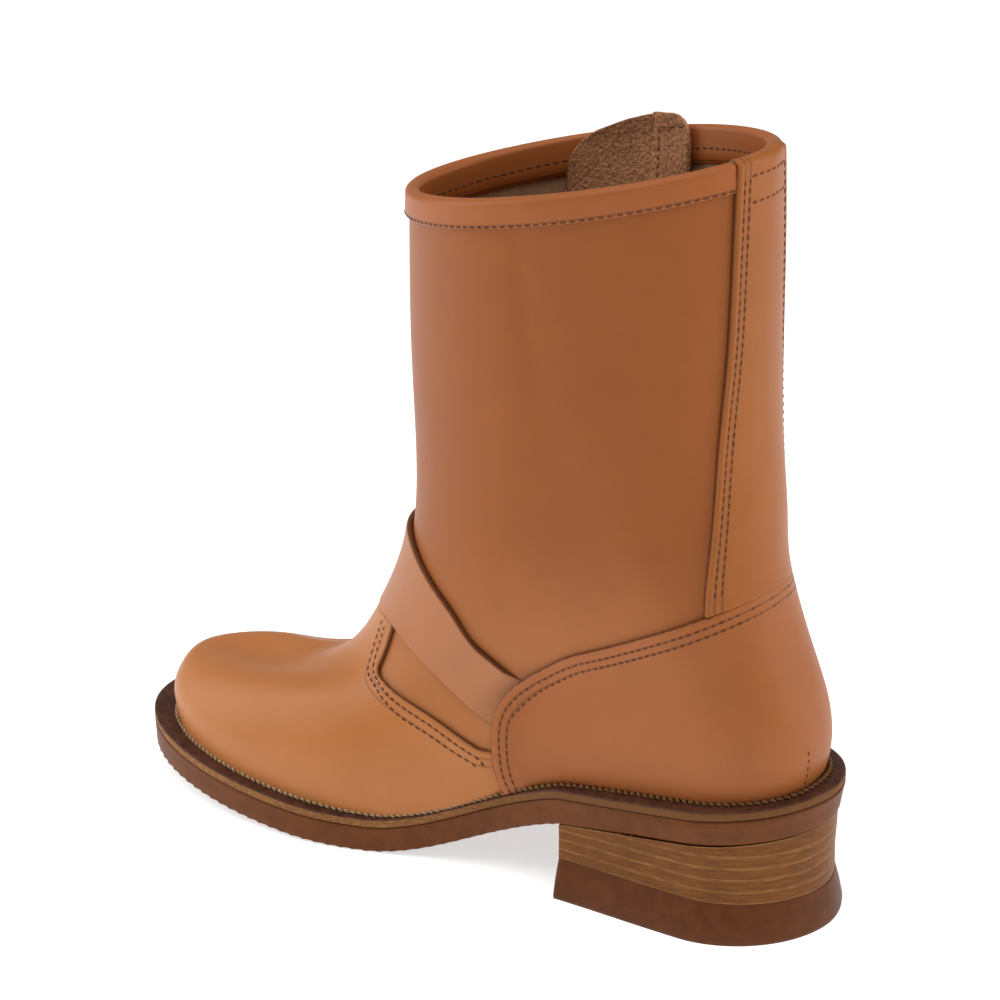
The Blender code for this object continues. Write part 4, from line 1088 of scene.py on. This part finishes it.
def build_outsole():
    """Rubber plate: rounded above, slanted in at the heel, with a fine toothed edge below."""
    ring, normal = outline(200)
    lean = SOLE_BEVEL * np.clip((BREAST_S - ring[:, 1]) / 30.0, 0, 1)
    teeth = 0.35 * np.sin(np.arange(len(ring)) * 2.1) * (ring[:, 1] > BREAST_S)
    stations = []
    for inward, share, drop in ((1.0, 1.0, 0.0), (0.35, 1.0, -0.15), (0.0, 1.0, -0.7), (0.0, 0.93, 0.0),
                                (0.12, 0.5, 0.0), (0.2, 0.12, 0.0), (0.45, 0.04, 0.0), (1.2, 0.0, 0.0)):
        reach = inward + lean * (1 - share) + (teeth if share < 0.1 else 0.0)
        spot = ring - normal * reach[:, None]
        stations.append(raised(spot, sole_under(spot[:, 1]) + SOLE_THICK * share + drop))
    plate("outsole_plate", np.stack(stations), [RUBBER], [0] * (len(stations) - 1), "outsole",
          "sole_rubber")


def build_welt():
    """Leather strip round the foot with a raw edge and a rope of stitches on top."""
    count = 220
    ring, normal = outline(count)
    v = np.linspace(0, 1, 2 * count - 1)[:-1]
    foot = surface(0.0, v, 0.0)[:, :2]
    inner = surface(0.0, v, -WALL)[:, :2]
    margin = np.linalg.norm(foot - ring, axis=1)[:, None]
    inward = (foot - ring) / margin
    grain = 0.10 * RNG.normal(size=(len(ring), 1))
    profile = [(inner, WELT_THICK), (foot, WELT_THICK)]
    for d, drop in ((3.4, 0.0), (1.2, 0.05), (0.5, 0.2), (0.1, 0.6)):
        profile.append((ring + inward * np.minimum(d, margin * 0.8), WELT_THICK - drop))
    profile.append((ring + grain * normal, WELT_THICK * 0.5))
    profile += [(ring + inward * 0.15, 0.25), (ring + inward * 0.6, 0.0), (inner, 0.0)]
    stations = np.stack([raised(spot, sole_under(spot[:, 1]) + (SOLE_THICK + GAP) + high)
                         for spot, high in profile])
    # The edge shows from the rounded corner above down to the sole.
    kinds = [0, 0, 0, 0, 0, 1, 1, 1, 1, 0]
    make("welt_strip", stations.reshape(-1, 3), list(quads(*stations.shape[:2], True)),
         [WELT_TOP, WELT_EDGE], faces_from=kinds, replaces=("welt",), slot="welt_leather")
    spot = foot - inward * np.minimum(margin * 0.60, 4.0)
    line = raised(spot, welt_top(spot[:, 1]))
    line = np.concatenate([line, line[:1]])
    up = np.tile(np.array([0.0, 0.0, 1.0]), (len(line), 1))
    threads("welt_stitches", [(line, up)], WELT_THREAD, 2.7, 1.6, "welt_leather", sink=-0.1, fill=1.02,
            twist=0.35)


def heel_ring(half, back, front, count=90):
    """Plan of one heel layer: D shape with a straight breast."""
    q = 1 - np.cos(np.linspace(0, math.pi / 2, count))
    s = back + (front - back) * q
    u = np.clip((HEEL_STATION - s) / (HEEL_STATION - back), 0, 1)
    drawn = HEEL_BREAST_IN * smooth((s - HEEL_STATION) / (BREAST_S - HEEL_STATION))
    w = half * (1 - u ** HEEL_ROUND) ** (1 / HEEL_ROUND) - drawn
    medial = np.stack([-w, s], 1)
    lateral = np.stack([w, s], 1)
    return np.concatenate([medial, lateral[::-1][:-1]])


def heel_plan(z):
    """Half-width and back place of the heel at height z: flared foot, waist, then out again."""
    places = np.array(((0.0, HEEL_BOTTOM_HALF, HEEL_BACK_BOTTOM),
                       (HEEL_FOOT, HEEL_BOTTOM_HALF, HEEL_BACK_BOTTOM),
                       (TOP_LIFT, HEEL_WAIST_HALF, HEEL_BACK_WAIST),
                       (HEEL_WAIST_TOP, HEEL_WAIST_HALF - HEEL_WAIST_IN, HEEL_BACK_WAIST),
                       (BACK_Z, HEEL_HALF - HEEL_SEAT_IN, HEEL_SEAT_BACK)))
    return np.interp(z, places[:, 0], places[:, 1]), np.interp(z, places[:, 0], places[:, 2])


def lift_plane(k, s):
    """Height of the joint above the first k leather lifts."""
    return TOP_LIFT + k * (LIFT_FRONT + (LIFT_BACK - LIFT_FRONT) * (BREAST_S - s) / WEDGE_FRONT)


def heel_layer(name, low, high, front, materials, slot, soft=0.12):
    """One layer of the heel between two height functions, with a lighter line at its joints."""
    stations = []
    steps = ((1.0, 1.0), (0.25, 1.0), (0.0, 0.9), (0.0, 0.5), (0.0, 0.1), (0.25, 0.0), (1.0, 0.0))
    for inward, share in steps:
        z = float(low(HEEL_STATION)) * (1 - share) + float(high(HEEL_STATION)) * share
        half, back = heel_plan(z)
        ring = heel_ring(half, back, front)
        spot = ring - plan_normals(ring) * inward * soft * 2
        s = spot[:, 1]
        stations.append(raised(spot, low(s) * (1 - share) + high(s) * share))
    line = len(materials) - 1
    plate(name, np.stack(stations), materials, [line, line, 0, 0, line, line], "heel_" + name, slot)


def build_heel():
    """Rubber top lift, four leather lifts and the wedge, pressed together."""
    def below(k):
        return lambda s: lift_plane(k, s) - JOIN

    def above(k):
        return lambda s: lift_plane(k, s) + JOIN

    def seat(s):
        return sole_under(s) - JOIN

    def fourth(s):
        return np.where(s > WEDGE_FRONT, seat(s), np.minimum(lift_plane(4, s) - JOIN, seat(s)))

    heel_layer("top_lift", lambda s: 0.0 * s, lambda s: 0.0 * s + TOP_LIFT - JOIN, BREAST_S,
               [HEEL_RUBBER], "sole_rubber", 0.25)
    layers = (("lift_1", below(1), BREAST_S), ("lift_2", below(2), BREAST_S), ("lift_3", below(3), BREAST_S),
              ("lift_4", fourth, BREAST_S), ("wedge", seat, WEDGE_FRONT))
    for k, (name, high, front) in enumerate(layers):
        heel_layer(name, above(k), high, front, [STACK, STACK_LINE], "stack_leather")


def build_insole():
    """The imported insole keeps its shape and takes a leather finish."""
    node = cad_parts["insole"]
    for held in node.material_slots:
        held.material = INSOLE


def build_stage():
    """Pale floor, soft lights and the photograph's camera."""
    size = 6.0
    mesh = bpy.data.meshes.new("floor")
    mesh.from_pydata([(-size, -size, 0), (size, -size, 0), (size, size, 0), (-size, size, 0)], [],
                     [(0, 1, 2, 3)])
    floor = bpy.data.objects.new("floor", mesh)
    bpy.context.scene.collection.objects.link(floor)
    material, tree, shader, _ = start("floor_white")
    give(tree, shader, {"Base Color": (0.80, 0.80, 0.80, 1), "Roughness": 0.9,
                        "Emission Color": (1, 1, 1, 1), "Emission Strength": 0.62})
    mesh.materials.append(material)

    world = bpy.data.worlds.new("studio")
    bpy.context.scene.world = world
    world.use_nodes = True
    give(world.node_tree, world.node_tree.nodes["Background"], {0: (1, 1, 1, 1), 1: 0.30})

    def lamp(name, place, aim, width, tall, power):
        """Soft light at a place, turned to look at its aim."""
        light = bpy.data.lights.new(name, "AREA")
        light.shape = "RECTANGLE"
        light.size = width
        light.size_y = tall
        light.energy = power
        obj = bpy.data.objects.new(name, light)
        obj.location = place
        way = np.array(aim, float) - np.array(place, float)
        obj.rotation_mode = "QUATERNION"
        obj.rotation_quaternion = Vector(way).to_track_quat("-Z", "Y")
        bpy.context.scene.collection.objects.link(obj)

    lamp("left", (-0.55, 1.25, 0.75), (0, 0, 0.15), 1.0, 1.2, 11.0)
    lamp("right", (0.55, -1.30, 0.70), (0, 0, 0.15), 0.9, 1.2, 9.0)
    lamp("above", (-0.25, -0.10, 1.60), (0, 0, 0.1), 1.5, 1.5, 13.0)

    view = bpy.data.cameras.new("camera")
    camera = bpy.data.objects.new("camera", view)
    view.sensor_width = CAMERA_SENSOR
    view.lens = CAMERA_LENS
    azimuth, elevation, roll = (math.radians(a) for a in (CAMERA_AZIMUTH, CAMERA_ELEVATION, CAMERA_ROLL))
    back = np.array([math.sin(azimuth) * math.cos(elevation), -math.cos(azimuth) * math.cos(elevation),
                     math.sin(elevation)])
    place = np.array([0.0, CAMERA_TARGET[0] - LENGTH / 2, CAMERA_TARGET[1]]) + back * CAMERA_FAR
    right = np.cross(-back, [0, 0, 1])
    right /= np.linalg.norm(right)
    up = np.cross(right, -back)
    right, up = (right * math.cos(roll) + up * math.sin(roll), up * math.cos(roll) - right * math.sin(roll))
    turn = Matrix(((right[0], up[0], back[0]), (right[1], up[1], back[1]), (right[2], up[2], back[2])))
    camera.rotation_mode = "QUATERNION"
    camera.rotation_quaternion = turn.to_quaternion()
    camera.location = place * MM
    bpy.context.scene.collection.objects.link(camera)
    bpy.context.scene.camera = camera
    bpy.context.scene.view_settings.view_transform = "Standard"


build_stage()
build_upper()
build_vamp()
build_counter()
build_backstay()
STAY_SIDE = float(table(BACKSTAY_HALF, RIM_T)) + 0.0008
build_binding("binding_long", STAY_SIDE, SLIT_V - SLIT_HALF, 300, "binding_medial")
build_binding("binding_short", SLIT_V + SLIT_HALF, 1 - STAY_SIDE, 90, "binding_lateral")
build_flap()
build_strap("strap_over_instep", strap_place, -0.03, 0.90, instep_rise, "instep_strap", 240,
            STRAP_THIN, tip=True, under=True)
build_strap("anchor_at_instep", strap_place, 0.842, 0.994, STRAP_LOW, "instep_anchor", 40, ANCHOR, 0.12)
build_strap("strap_at_collar", collar_place, 0.0, 0.87, collar_rise, "collar_strap", 160, tip=True)
build_strap("anchor_at_collar", collar_place, 0.66, 1.0, STRAP_LOW, "collar_anchor", 60, ANCHOR, 0.12)
build_buckle("instep", strap_place, 0.820, 0.726, 0.757, 2.7, 0.115)
build_buckle("collar", collar_place, 0.630, 0.430, 0.515, 1.9, 0.10)
build_outsole()
build_welt()
build_heel()
build_insole()
